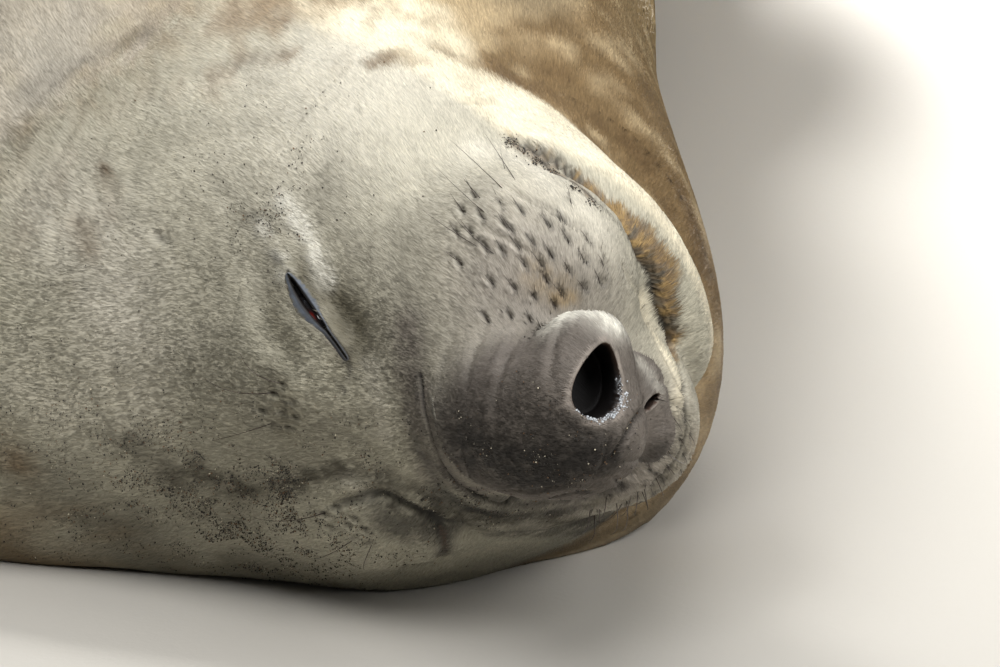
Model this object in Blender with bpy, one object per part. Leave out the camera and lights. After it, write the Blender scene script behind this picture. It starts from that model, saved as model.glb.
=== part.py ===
"""A life-size northern elephant seal, a young male, asleep on its right side with its head turned out to
the front.

The flesh is worked out as one soft union of ellipsoid masses. Rays from a line through the body find its
surface: a fan of rays about the nose, flat rings along the neck and trunk, and a last fan at the tail. The
whole is then parted by thin gaps into head, nose, lower jaw, neck, trunk and hips, and the flippers, tail,
eyes and claws are added.
"""
import bpy
import bmesh
import numpy as np
from mathutils import Matrix, Vector

MM = 0.001
GAP = 0.0003
COAT_OUTSIDE = 0.0015

# The middle of the animal's box on the floor, in the frame the masses are set in. The part is moved by it
# at the end.
FLOOR_MIDDLE = np.array((-0.1456, 1.6632, 0.0))

# The head's own frame: forward, left and crown directions from the midpoint between the eyes.
HEAD_FORWARD = np.array((0.6400, -0.7470, 0.1800))
HEAD_LEFT = np.array((-0.4390, -0.1635, 0.8840))
HEAD_CROWN = np.array((-0.6310, -0.6440, -0.4330))
HEAD_AXES = np.array((HEAD_FORWARD, HEAD_LEFT, HEAD_CROWN))
EYE_MIDPOINT = np.array((0.0316, 0.0118, 0.1264))

# Flesh masses of the head: centre and radii (forward, left, crown) in mm, and how softly each joins
# those before it.
UPPER_HEAD = (
    ((-60, 0, -40), (130, 112, 88), 1),
    ((-32, 62, -92), (112, 90, 78), 60),
    ((-32, -62, -92), (112, 90, 78), 60),
    ((58, 0, -42), (90, 86, 70), 50),
    ((-8, 44, 18), (44, 34, 26), 30),
    ((-8, -44, 18), (44, 34, 26), 30),
    ((90, 46, -77), (67, 60, 52), 24),
    ((90, -44, -72), (66, 58, 48), 24),
    ((146, 9, 1), (78, 46, 41), 22),
    ((190, 34, -10), (26, 25, 31), 16),
    ((184, -19, -34), (18, 22, 18), 9),
    ((188, 0, -38), (16, 15, 16), 9),
    ((186, 14, -42), (13, 11, 13), 14),
    ((186, 46, -26), (26, 19, 18), 12),
)
LOWER_JAW = (
    ((60, 4, -128), (80, 92, 42), 1),
    ((-30, 0, -150), (95, 112, 56), 50),
)
LIP_BLEND = 8

# Masses of the neck, trunk and tail: centre, radii and blend in metres.
BODY = (
    ((-0.010, 0.200, 0.150), (0.212, 0.150, 0.165), 0.001),
    ((0.086, 0.205, 0.088), (0.144, 0.115, 0.130), 0.060),
    ((-0.140, 0.235, 0.110), (0.205, 0.155, 0.155), 0.080),
    ((-0.110, 0.390, 0.215), (0.292, 0.260, 0.240), 0.140),
    ((-0.150, 0.700, 0.290), (0.340, 0.400, 0.305), 0.160),
    ((-0.165, 1.150, 0.290), (0.360, 0.520, 0.310), 0.160),
    ((-0.150, 1.650, 0.275), (0.345, 0.560, 0.295), 0.160),
    ((-0.130, 2.200, 0.235), (0.275, 0.520, 0.245), 0.160),
    ((-0.105, 2.650, 0.170), (0.190, 0.400, 0.175), 0.140),
    ((-0.085, 2.950, 0.110), (0.115, 0.260, 0.105), 0.100),
)
NECK_FOLD_BLEND = (0.035, 0.100)

# The line the rays start from, head to tail, and the middle of the nose where the fan begins.
SPINE = np.array((
    (0.0310, 0.0810, 0.1390),
    (-0.0420, 0.1750, 0.1280),
    (-0.1000, 0.3600, 0.1850),
    (-0.1450, 0.6600, 0.2500),
    (-0.1600, 1.1500, 0.2700),
    (-0.1500, 1.6500, 0.2500),
    (-0.1300, 2.2000, 0.2000),
    (-0.1050, 2.6500, 0.1400),
    (-0.0850, 3.0000, 0.0900),
))
NOSE_MIDDLE = np.array((95.0, 0.0, -12.0))
LONGEST_RAY = 0.62

# Where the body is parted, as shares of the spine's length, and the rings of each length.
HEAD_END = 0.040
LENGTHS = (
    ("neck", HEAD_END, 0.165, 7),
    ("trunk_front", 0.165, 0.400, 7),
    ("trunk_middle", 0.400, 0.600, 6),
    ("trunk_rear", 0.600, 0.800, 6),
    ("hips", 0.800, 1.000, 6),
)
HEAD_RINGS = 24
HEAD_AROUND = 48
BODY_AROUND = 28
TAIL_RINGS = 4

# The plane that parts the nose from the face, and the two that part the lower jaw, in the head's
# frame in mm.
NOSE_PLANE_POINT = (97, 0, 33)
NOSE_PLANE_NORMAL = (0.844, 0.0, 0.536)
MOUTH_PLANE_POINT = (141, 0, -111)
MOUTH_PLANE_NORMAL = (0.193, 0.0, -0.981)
JAW_BACK = 22
CUTTER_SIZE = 0.8

# Eyes: ball radius, how deep its front lies under the lids, and the slit between the lids, lateral to
# medial corner.
EYE_RADIUS = 0.026
EYE_DEPTH = 0.0035
EYE_SLIT_START = np.array((-5.0, 100.0, 1.0))
EYE_SLIT_END = np.array((44.0, 60.0, 24.0))
EYE_FACING = np.array((0.42, 0.86, 0.30))
EYE_SLIT_HALF_HEIGHT = 0.0065
EYE_SLIT_DEPTH = 0.012

# Nostrils: middle of the opening, direction inwards, half sizes along, across and deep.
NOSTRILS = (
    ("nostril_left_cutter", (212, 38, -6), (-0.86, -0.28, -0.42), (0.0200, 0.0125, 0.034)),
    ("nostril_right_cutter", (195, -6, -38), (-0.93, 0.20, -0.30), (0.0110, 0.0035, 0.024)),
)

# Flippers: where the middle line runs, in metres; half width and half thickness along it; the direction of
# the leading edge; how long each place across is as a share of the middle line, from leading to trailing
# edge.
FORE_HALF_WIDTH = (0.070, 0.080, 0.088, 0.084, 0.060)
FORE_HALF_THICKNESS = (0.040, 0.028, 0.020, 0.014, 0.007)
FORE_REACH = (1.00, 1.00, 0.97, 0.91, 0.82)
HIND_HALF_WIDTH = (0.045, 0.062, 0.090, 0.122, 0.150)
HIND_HALF_THICKNESS = (0.040, 0.030, 0.021, 0.014, 0.007)
HIND_REACH = (1.00, 0.93, 0.84, 0.93, 1.00)
FLIPPER_RINGS = 8
FLIPPER_AROUND = 16
FLIPPERS = (
    ("foreflipper_left", ((0.035, 0.930, 0.500), (0.095, 1.040, 0.540), (0.140, 1.160, 0.525),
                          (0.165, 1.280, 0.495), (0.178, 1.370, 0.465)), (0.55, 0.45, -0.70), "fore"),
    ("foreflipper_right", ((-0.020, 0.960, 0.062), (0.050, 1.060, 0.044), (0.095, 1.165, 0.030),
                           (0.118, 1.270, 0.020), (0.130, 1.370, 0.012)), (0.90, 0.30, 0.0), "fore"),
    ("hindflipper_left", ((-0.085, 3.020, 0.110), (-0.080, 3.130, 0.120), (-0.075, 3.250, 0.110),
                          (-0.070, 3.370, 0.098), (-0.065, 3.490, 0.088)), (1.0, 0.0, 0.08), "hind"),
    ("hindflipper_right", ((-0.085, 3.020, 0.062), (-0.085, 3.130, 0.050), (-0.085, 3.250, 0.038),
                           (-0.085, 3.370, 0.028), (-0.085, 3.490, 0.016)), (1.0, 0.0, 0.0), "hind"),
)
TAIL_LINE = ((-0.150, 3.020, 0.100), (-0.178, 3.090, 0.098), (-0.199, 3.150, 0.092), (-0.214, 3.200, 0.084))
TAIL_HALF_WIDTH = (0.032, 0.027, 0.019, 0.008)
TAIL_HALF_THICKNESS = (0.026, 0.021, 0.013, 0.005)

# Claws of the foreflippers: share across the flipper of each digit, length, radius, and space off the
# flipper's end.
DIGITS = (-0.86, -0.46, -0.04, 0.38, 0.80)
CLAW_LENGTH = 0.026
CLAW_RADIUS = 0.0042
CLAW_SPACE = 0.0030
CLAW_SIDES = 8

COLOURS = {
    "face_hair": (0.50, 0.46, 0.36),
    "neck_hair": (0.34, 0.25, 0.14),
    "trunk_hair": (0.30, 0.22, 0.12),
    "nose_hair": (0.20, 0.17, 0.14),
    "jaw_hair": (0.58, 0.50, 0.34),
    "flipper_hair": (0.18, 0.14, 0.10),
    "eye_surface": (0.02, 0.015, 0.012),
    "claw_horn": (0.03, 0.025, 0.02),
}


def material(name, roughness=0.8):
    made = bpy.data.materials.get(name) or bpy.data.materials.new(name)
    made.use_nodes = True
    shader = made.node_tree.nodes["Principled BSDF"]
    shader.inputs["Base Color"].default_value = (*COLOURS[name], 1.0)
    shader.inputs["Roughness"].default_value = roughness
    shader.inputs["Metallic"].default_value = 0.0
    return made


def head_to_world(points):
    return EYE_MIDPOINT + (np.asarray(points, float) * MM) @ HEAD_AXES


def world_to_head(points):
    return ((points - EYE_MIDPOINT) @ HEAD_AXES.T) / MM


def ellipsoid(points, centre, radii):
    """Distance to an ellipsoid, near enough: k0 (k0 - 1) / k1 of the scaled position and its gradient."""
    scaled = (points - np.array(centre, float)) / np.array(radii, float)
    k0 = np.linalg.norm(scaled, axis=-1)
    k1 = np.linalg.norm(scaled / np.array(radii, float), axis=-1) + 1e-12
    return k0 * (k0 - 1.0) / k1


def soft_min(a, b, blend):
    overlap = np.clip(blend - np.abs(a - b), 0.0, None) / blend
    return np.minimum(a, b) - overlap * overlap * blend * 0.25


def union(points, rows):
    total = None
    for centre, radii, blend in rows:
        distance = ellipsoid(points, centre, radii)
        total = distance if total is None else soft_min(total, distance, blend)
    return total


def flesh(points):
    """Distance in metres to the animal's surface, below zero inside it."""
    in_head = world_to_head(points)
    head = soft_min(union(in_head, UPPER_HEAD), union(in_head, LOWER_JAW), LIP_BLEND) * MM
    throat, nape = NECK_FOLD_BLEND
    share = np.clip((0.13 - points[..., 0]) / 0.10, 0, 1)
    return soft_min(head, union(points, BODY), throat + (nape - throat) * share * share * (3 - 2 * share))


def spine_at(shares):
    """Points and tangents of the smooth curve through the spine's stations, at shares of its length."""
    ends = (2 * SPINE[0] - SPINE[1], 2 * SPINE[-1] - SPINE[-2])
    p = np.vstack((ends[0], SPINE, ends[1]))
    t = np.linspace(0, len(SPINE) - 1, 40 * (len(SPINE) - 1) + 1)
    i = np.clip(t.astype(int), 0, len(SPINE) - 2)
    f = (t - i)[:, None]
    a, b, c, d = p[i], p[i + 1], p[i + 2], p[i + 3]
    curve = 0.5 * (2 * b + (c - a) * f + (2 * a - 5 * b + 4 * c - d) * f ** 2
                   + (3 * b - a - 3 * c + d) * f ** 3)
    run = np.concatenate(((0,), np.cumsum(np.linalg.norm(np.diff(curve, axis=0), axis=1))))

    def along(length):
        return np.stack([np.interp(length, run, curve[:, k]) for k in range(3)], axis=1)

    where = np.asarray(shares) * run[-1]
    step = 0.01
    tangent = along(np.clip(where + step, 0, run[-1])) - along(np.clip(where - step, 0, run[-1]))
    return along(where), tangent / np.linalg.norm(tangent, axis=1)[:, None]


def ring_frames(shares):
    """Spine points, tangents and two directions across it that don't twist from one step to the next."""
    fine = np.unique(np.concatenate((np.linspace(0, 1, 120), np.asarray(shares))))
    points, tangents = spine_at(fine)
    first = HEAD_LEFT - tangents[0] * (HEAD_LEFT @ tangents[0])
    firsts = [first / np.linalg.norm(first)]
    for tangent in tangents[1:]:
        turned = firsts[-1] - tangent * (firsts[-1] @ tangent)
        firsts.append(turned / np.linalg.norm(turned))
    pick = np.searchsorted(fine, shares)
    firsts = np.array(firsts)[pick]
    return points[pick], tangents[pick], firsts, np.cross(tangents[pick], firsts)


def cast(origins, directions, grow, steps=40, halvings=14):
    """Where each ray first leaves the flesh, by even steps outwards and then halving, or else meets the
    floor."""
    shape = np.broadcast_shapes(origins.shape, directions.shape)
    origins, directions = np.broadcast_to(origins, shape), np.broadcast_to(directions, shape)
    low, high = np.zeros(shape[:-1]), np.full(shape[:-1], LONGEST_RAY)
    inside = np.ones(shape[:-1], bool)
    for k in range(1, steps + 1):
        reach = LONGEST_RAY * k / steps
        still = flesh(origins + directions * reach) < grow
        high = np.where(inside & ~still, reach, high)
        inside &= still
        low = np.where(inside, reach, low)
    for _ in range(halvings):
        middle = 0.5 * (low + high)
        within = flesh(origins + directions * middle[..., None]) < grow
        low, high = np.where(within, middle, low), np.where(within, high, middle)
    to_floor = origins[..., 2] / np.maximum(-directions[..., 2], 1e-6)
    points = origins + directions * np.minimum(low, to_floor)[..., None]
    points[..., 2] = np.where(to_floor <= low, 0.0, points[..., 2])
    return points


def around(count):
    turn = np.linspace(0, 2 * np.pi, count, endpoint=False)
    return np.cos(turn)[:, None], np.sin(turn)[:, None]


def flat_rings(shares, count, grow, gap=0.0):
    """Rings square to the spine. A gap moves the first one along the spine, in parallel."""
    points, tangents, firsts, seconds = ring_frames(shares)
    points[0] += tangents[0] * gap
    c, s = around(count)
    directions = firsts[:, None] * c + seconds[:, None] * s
    return cast(points[:, None], directions, grow), points


def head_rings(grow):
    """The fan about the nose, from its tip to a flat ring at the head's middle: each ray leans away from
    the nose axis by its ring's angle and starts between the nose's middle and the spine's start."""
    points, tangents, firsts, seconds = ring_frames((0.0,))
    c, s = around(HEAD_AROUND)
    lean = 0.5 * np.pi * np.linspace(0, 1, HEAD_RINGS + 1)[1:, None, None] ** 1.1
    nose = head_to_world(NOSE_MIDDLE)
    origins = nose + (points[0] - nose) * lean / (0.5 * np.pi)
    directions = -tangents[0] * np.cos(lean) + (firsts[0] * c + seconds[0] * s) * np.sin(lean)
    tip = cast(nose, -tangents[0], grow)
    return cast(origins, directions, grow), tip


def tail_rings(grow):
    points, tangents, firsts, seconds = ring_frames((1.0,))
    c, s = around(BODY_AROUND)
    lean = 0.5 * np.pi * np.linspace(0, 1, TAIL_RINGS + 2)[1:-1, None, None]
    directions = tangents[0] * np.sin(lean) + (firsts[0] * c + seconds[0] * s) * np.cos(lean)
    return cast(points[0], directions, grow), cast(points[0], tangents[0], grow)


def closed_skin(name, rings, first, last):
    """A closed mesh of rings of points, shut at each end by a fan to one point."""
    rows, count = rings.shape[:2]
    vertices = np.concatenate((rings.reshape(-1, 3), [first, last])) - FLOOR_MIDDLE
    i = (np.arange(rows - 1) * count)[:, None]
    j = np.arange(count)[None, :]
    k = (j + 1) % count
    quads = np.stack((i + j, i + k, i + count + k, i + count + j), -1).reshape(-1, 4)
    end = (rows - 1) * count
    start_fan = np.stack((np.full(count, rows * count), k[0], j[0]), -1)
    end_fan = np.stack((np.full(count, rows * count + 1), end + j[0], end + k[0]), -1)
    faces = quads.tolist() + start_fan.tolist() + end_fan.tolist()
    mesh = bpy.data.meshes.new(name)
    mesh.from_pydata(vertices.tolist(), [], faces)
    work = bmesh.new()
    work.from_mesh(mesh)
    bmesh.ops.recalc_face_normals(work, faces=work.faces)
    bmesh.ops.triangulate(work, faces=work.faces)
    work.to_mesh(mesh)
    work.free()
    mesh.shade_smooth()
    return mesh


def add_object(name, mesh, collection, finish=None):
    made = bpy.data.objects.new(name, mesh)
    collection.objects.link(made)
    if finish:
        made.data.materials.append(material(finish))
    else:
        made.hide_render = True
        made.display_type = "WIRE"
    return made


def boolean(target, cutter, operation):
    modifier = target.modifiers.new(f"{operation.lower()}_{cutter.name}", "BOOLEAN")
    modifier.operation = operation
    modifier.object = cutter
    modifier.solver = "EXACT"


def basis(columns, place):
    """A 4 x 4 matrix from three axes and a place in the masses' frame."""
    matrix = Matrix(np.array(columns).T.tolist()).to_4x4()
    matrix.translation = Vector(place - FLOOR_MIDDLE)
    return matrix


def unit(vector):
    return vector / np.linalg.norm(vector)


def head_direction(vector):
    return unit(np.asarray(vector, float) @ HEAD_AXES)


def half_space(name, point, normal, grow, collection):
    """A large box whose one face is the plane through the point, with the box on the normal's side."""
    up = head_direction(normal)
    side = unit(np.cross(up, HEAD_LEFT))
    middle = head_to_world(point) + up * (0.5 * CUTTER_SIZE - grow)
    work = bmesh.new()
    bmesh.ops.create_cube(work, size=CUTTER_SIZE, matrix=basis((side, np.cross(up, side), up), middle))
    mesh = bpy.data.meshes.new(name)
    work.to_mesh(mesh)
    work.free()
    return add_object(name, mesh, collection)


def jaw_block(name, grow, collection):
    """A box under the mouth plane that ends at the back of the lower jaw."""
    down = head_direction(MOUTH_PLANE_NORMAL)
    ahead = unit(HEAD_FORWARD - down * (HEAD_FORWARD @ down))
    side = np.cross(down, ahead)
    lips = head_to_world(MOUTH_PLANE_POINT)
    back = (MOUTH_PLANE_POINT[0] - JAW_BACK) * MM
    length, width, depth = back + 0.1 + grow, 0.5, 0.3
    middle = lips + ahead * (0.5 * length - back - grow) + down * (0.5 * depth - grow)
    work = bmesh.new()
    matrix = basis((ahead, side, down), middle) @ Matrix.Diagonal((length, width, depth, 1.0))
    bmesh.ops.create_cube(work, size=1.0, matrix=matrix)
    bmesh.ops.recalc_face_normals(work, faces=work.faces)
    mesh = bpy.data.meshes.new(name)
    work.to_mesh(mesh)
    work.free()
    return add_object(name, mesh, collection)


def ball(name, columns, radii, place, collection, finish=None, segments=20, rings=12):
    work = bmesh.new()
    matrix = basis(columns, place) @ Matrix.Diagonal((*radii, 1.0))
    bmesh.ops.create_uvsphere(work, u_segments=segments, v_segments=rings, radius=1.0, matrix=matrix)
    bmesh.ops.recalc_face_normals(work, faces=work.faces)
    mesh = bpy.data.meshes.new(name)
    work.to_mesh(mesh)
    work.free()
    mesh.shade_smooth()
    return add_object(name, mesh, collection, finish)


def eye_frame(side):
    """Middle of the lid slit on the surface, its long direction, its short one and the way the eye faces."""
    mirror = np.array((1.0, side, 1.0))
    along = head_direction((EYE_SLIT_END - EYE_SLIT_START) * mirror)
    facing = head_direction(EYE_FACING * mirror)
    facing = unit(facing - along * (facing @ along))
    middle = head_to_world(0.5 * (EYE_SLIT_START + EYE_SLIT_END) * mirror)
    surface = cast(middle - facing * 0.06, facing, COAT_OUTSIDE)
    return surface, along, np.cross(facing, along), facing


def add_head(parts, cutters):
    rings, tip = head_rings(COAT_OUTSIDE)
    neck_rings, neck_points = flat_rings(np.linspace(0, HEAD_END, 4)[1:], HEAD_AROUND, COAT_OUTSIDE)
    whole = closed_skin("head", np.concatenate((rings, neck_rings)), tip, neck_points[-1])
    head = add_object("head", whole, parts, "face_hair")
    nose = add_object("nose", whole.copy(), parts, None)
    jaw = add_object("lower_jaw", whole.copy(), parts, None)
    for piece, finish in ((nose, "nose_hair"), (jaw, "jaw_hair")):
        piece.hide_render = False
        piece.display_type = "TEXTURED"
        piece.data.materials.clear()
        piece.data.materials.append(material(finish))
    boolean(head, half_space("nose_side", NOSE_PLANE_POINT, NOSE_PLANE_NORMAL, GAP, cutters), "DIFFERENCE")
    boolean(nose, half_space("nose_itself", NOSE_PLANE_POINT, NOSE_PLANE_NORMAL, 0.0, cutters), "INTERSECT")
    boolean(head, jaw_block("jaw_side", GAP, cutters), "DIFFERENCE")
    boolean(jaw, jaw_block("jaw_itself", 0.0, cutters), "INTERSECT")
    for name, middle, inwards, (along, across, deep) in NOSTRILS:
        inward = head_direction(inwards)
        upright = unit(HEAD_CROWN - inward * (HEAD_CROWN @ inward))
        place = head_to_world(middle)
        cutter = ball(name, (upright, np.cross(inward, upright), inward), (along, across, deep), place,
                      cutters)
        boolean(nose, cutter, "DIFFERENCE")
    for side, word in ((1, "left"), (-1, "right")):
        surface, along, across, facing = eye_frame(side)
        middle = surface - facing * (EYE_RADIUS + EYE_DEPTH)
        columns = (along, across, facing)
        ball(f"eye_{word}", columns, (EYE_RADIUS,) * 3, middle, parts, "eye_surface")
        socket = ball(f"socket_{word}", columns, (EYE_RADIUS + GAP,) * 3, middle, cutters)
        half = 0.5 * np.linalg.norm(EYE_SLIT_END - EYE_SLIT_START) * MM
        slit = ball(f"slit_{word}", columns, (half, EYE_SLIT_HALF_HEIGHT, EYE_SLIT_DEPTH), surface, cutters)
        boolean(head, socket, "DIFFERENCE")
        boolean(head, slit, "DIFFERENCE")


def add_lengths(parts):
    """The neck, trunk and hips as stacks of flat rings. The gap lies at the front of each length."""
    for name, start, end, count in LENGTHS:
        rings, points = flat_rings(np.linspace(start, end, count), BODY_AROUND, COAT_OUTSIDE, GAP)
        last = points[-1]
        if name == "hips":
            tail, last = tail_rings(COAT_OUTSIDE)
            rings = np.concatenate((rings, tail))
        finish = "neck_hair" if name == "neck" else "trunk_hair"
        add_object(name, closed_skin(name, rings, points[0], last), parts, finish)


def body_cutter(cutters):
    """The trunk and hips grown by the gap, to cut the roots of the flippers and tail."""
    shares = np.concatenate([np.linspace(start, end, count) for _, start, end, count in LENGTHS[1:]])
    rings, points = flat_rings(np.unique(np.round(shares, 6)), BODY_AROUND, COAT_OUTSIDE + 2 * GAP)
    tail, last = tail_rings(COAT_OUTSIDE + 2 * GAP)
    rings = np.concatenate((rings, tail))
    floor_margin = 0.01
    rings[..., 2] = np.where(rings[..., 2] <= 0.0, -floor_margin, rings[..., 2])
    return add_object("body_cutter", closed_skin("body_cutter", rings, points[0], last), cutters)


def smooth_along(values, t):
    """Values given at even steps from 0 to 1, read at t on a Catmull-Rom curve."""
    v = np.asarray(values, float)
    padded = np.concatenate(([2 * v[0] - v[1]], v, [2 * v[-1] - v[-2]]))
    x = np.clip(t, 0.0, 1.0) * (len(v) - 1)
    i = np.minimum(x.astype(int), len(v) - 2)
    f = (x - i).reshape(x.shape + (1,) * (v.ndim - 1))
    a, b, c, d = padded[i], padded[i + 1], padded[i + 2], padded[i + 3]
    return 0.5 * (2 * b + (c - a) * f + (2 * a - 5 * b + 4 * c - d) * f ** 2
                  + (3 * b - a - 3 * c + d) * f ** 3)


def paddle_frame(line, leading, t):
    """The middle line at t, the way along it, the leading edge's direction and the flipper's upper side."""
    step = 0.02
    ahead = smooth_along(line, t + step) - smooth_along(line, t - step)
    ahead /= np.linalg.norm(ahead, axis=-1)[..., None]
    lead = np.asarray(leading, float) - ahead * (ahead @ np.asarray(leading, float))[..., None]
    lead /= np.linalg.norm(lead, axis=-1)[..., None]
    return smooth_along(line, t), lead, np.cross(lead, ahead)


def paddle(name, line, leading, widths, thicknesses, reach, rings=FLIPPER_RINGS, count=FLIPPER_AROUND):
    """A flat limb: flattened oval rings along its middle line, each place across with its own reach at the
    tip."""
    turn = np.linspace(0, 2 * np.pi, count, endpoint=False)[None, :]
    across = -np.cos(turn)
    share = smooth_along(reach, 0.5 * (across + 1.0))
    rise = np.linspace(0, 1, rings)[:, None]
    t = rise * share
    middle, lead, upper = paddle_frame(line, leading, t)
    width = smooth_along(widths, t)
    thickness = smooth_along(thicknesses, t) * np.sqrt(np.clip(1.02 - rise ** 6, 0, 1))
    edge = np.sign(np.sin(turn)) * np.abs(np.sin(turn)) ** 0.8
    points = middle - lead * (width * across)[..., None] + upper * (thickness * edge)[..., None]
    points[..., 2] = np.maximum(points[..., 2], 0.0)
    return closed_skin(name, points, points[0].mean(axis=0), points[-1].mean(axis=0))


def claw(name, base, ahead, side, upper, parts):
    """A horn cone that curves down a little towards its tip."""
    bend = 0.22
    steps = np.linspace(0, 1, 4)[:-1, None, None]
    turn = np.linspace(0, 2 * np.pi, CLAW_SIDES, endpoint=False)[None, :, None]
    middle = base + ahead * CLAW_LENGTH * steps - upper * CLAW_LENGTH * bend * steps ** 2
    radius = CLAW_RADIUS * (1 - 0.75 * steps ** 1.3)
    rings = middle + (side * np.cos(turn) + upper * np.sin(turn)) * radius
    tip = base + ahead * CLAW_LENGTH - upper * CLAW_LENGTH * bend
    add_object(name, closed_skin(name, rings, base, tip), parts, "claw_horn")


def add_limbs(parts, cutters):
    cutter = body_cutter(cutters)
    for name, line, leading, kind in FLIPPERS:
        fore = kind == "fore"
        widths, thicknesses = FORE_HALF_WIDTH, FORE_HALF_THICKNESS
        if not fore:
            widths, thicknesses = HIND_HALF_WIDTH, HIND_HALF_THICKNESS
        reach = FORE_REACH if fore else HIND_REACH
        limb = add_object(name, paddle(name, line, leading, widths, thicknesses, reach), parts,
                          "flipper_hair")
        boolean(limb, cutter, "DIFFERENCE")
        if not fore:
            continue
        for number, across in enumerate(DIGITS, 1):
            t = smooth_along(reach, np.array([0.5 * (across + 1.0)]))
            middle, lead, upper = (v[0] for v in paddle_frame(line, leading, t))
            ahead = unit(np.cross(upper, lead))
            width = smooth_along(widths, t)[0]
            base = middle - lead * width * across + ahead * CLAW_SPACE
            base[2] = max(base[2], CLAW_RADIUS + CLAW_LENGTH * 0.22)
            side_word = name.split("_")[1]
            claw(f"claw_{side_word}_{number}", base, ahead, lead, upper if upper[2] > 0 else -upper, parts)
    tail = paddle("tail", TAIL_LINE, (1.0, 0.0, 0.0), TAIL_HALF_WIDTH, TAIL_HALF_THICKNESS, (1.0,) * 5,
                  6, 12)
    boolean(add_object("tail", tail, parts, "trunk_hair"), cutter, "DIFFERENCE")


def main():
    for old in list(bpy.data.objects):
        bpy.data.objects.remove(old)
    parts = bpy.data.collections.new("elephant_seal")
    cutters = bpy.data.collections.new("cutters")
    for collection in (parts, cutters):
        bpy.context.scene.collection.children.link(collection)
    add_head(parts, cutters)
    add_lengths(parts)
    add_limbs(parts, cutters)


main()
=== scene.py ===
"""The looks of a life-size northern elephant seal, a young male asleep on its right side.

The skin is one soft union of flesh masses, found by rays from a line through the body, with creases, lids,
nostrils and whisker pits pressed into it. Short hair lies over it as thin wedges, each along its own lie.
"""
import bpy
import bmesh
import numpy as np
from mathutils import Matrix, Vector


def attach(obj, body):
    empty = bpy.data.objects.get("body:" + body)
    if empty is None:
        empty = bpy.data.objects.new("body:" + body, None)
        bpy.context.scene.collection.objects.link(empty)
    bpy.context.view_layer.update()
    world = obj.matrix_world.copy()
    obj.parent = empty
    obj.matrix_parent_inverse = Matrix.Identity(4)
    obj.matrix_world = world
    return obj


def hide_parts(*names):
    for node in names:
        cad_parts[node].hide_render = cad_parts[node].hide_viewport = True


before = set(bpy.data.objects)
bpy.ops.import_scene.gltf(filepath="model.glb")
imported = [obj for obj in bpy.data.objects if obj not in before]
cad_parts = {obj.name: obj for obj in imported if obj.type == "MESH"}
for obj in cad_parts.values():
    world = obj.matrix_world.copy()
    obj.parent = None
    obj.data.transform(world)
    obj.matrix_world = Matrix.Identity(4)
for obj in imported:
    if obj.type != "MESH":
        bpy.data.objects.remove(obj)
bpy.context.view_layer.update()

MM = 0.001
SEED = 31

# Where the masses' frame has the middle of the animal's box on the floor.
FLOOR_MIDDLE = np.array((-0.1456, 1.6632, 0.0))

# The head's own frame: forward, left and crown directions from the midpoint between the eyes.
HEAD_FORWARD = np.array((0.6400, -0.7470, 0.1800))
HEAD_LEFT = np.array((-0.4390, -0.1635, 0.8840))
HEAD_CROWN = np.array((-0.6310, -0.6440, -0.4330))
HEAD_AXES = np.array((HEAD_FORWARD, HEAD_LEFT, HEAD_CROWN))
EYE_MIDPOINT = np.array((0.0316, 0.0118, 0.1264))

# Flesh masses of the head: centre and radii (forward, left, crown) in mm, and the blend with the rest.
UPPER_HEAD = (
    ((-60, 0, -40), (130, 112, 88), 1),
    ((-32, 62, -92), (112, 90, 78), 60),
    ((-32, -62, -92), (112, 90, 78), 60),
    ((58, 0, -42), (90, 86, 70), 50),
    ((-8, 44, 18), (44, 34, 26), 30),
    ((-8, -44, 18), (44, 34, 26), 30),
    ((90, 46, -77), (67, 60, 52), 24),
    ((90, -44, -72), (66, 58, 48), 24),
    ((146, 9, 1), (78, 46, 41), 22),
    ((190, 34, -10), (26, 25, 31), 16),
    ((184, -19, -34), (18, 22, 18), 9),
    ((188, 0, -38), (16, 15, 16), 9),
    ((186, 14, -42), (13, 11, 13), 14),
    ((186, 46, -26), (26, 19, 18), 12),
)
LOWER_JAW = (
    ((60, 4, -128), (80, 92, 42), 1),
    ((-30, 0, -150), (95, 112, 56), 50),
)
LIP_BLEND = 8

# Masses of the neck, trunk and tail: centre, radii and blend in metres.
BODY = (
    ((-0.010, 0.200, 0.150), (0.212, 0.150, 0.165), 0.001),
    ((0.086, 0.205, 0.088), (0.144, 0.115, 0.130), 0.060),
    ((-0.140, 0.235, 0.110), (0.205, 0.155, 0.155), 0.080),
    ((-0.110, 0.390, 0.215), (0.292, 0.260, 0.240), 0.140),
    ((-0.150, 0.700, 0.290), (0.340, 0.400, 0.305), 0.160),
    ((-0.165, 1.150, 0.290), (0.360, 0.520, 0.310), 0.160),
    ((-0.150, 1.650, 0.275), (0.345, 0.560, 0.295), 0.160),
    ((-0.130, 2.200, 0.235), (0.275, 0.520, 0.245), 0.160),
    ((-0.105, 2.650, 0.170), (0.190, 0.400, 0.175), 0.140),
    ((-0.085, 2.950, 0.110), (0.115, 0.260, 0.105), 0.100),
)

# How softly the head joins the neck at the throat and at the nape, and where across the body the throat's
# side ends and how gradually, in metres.
NECK_FOLD_BLEND = (0.035, 0.100)
NAPE_EDGE, NAPE_SOFT = 0.13, 0.10

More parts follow.
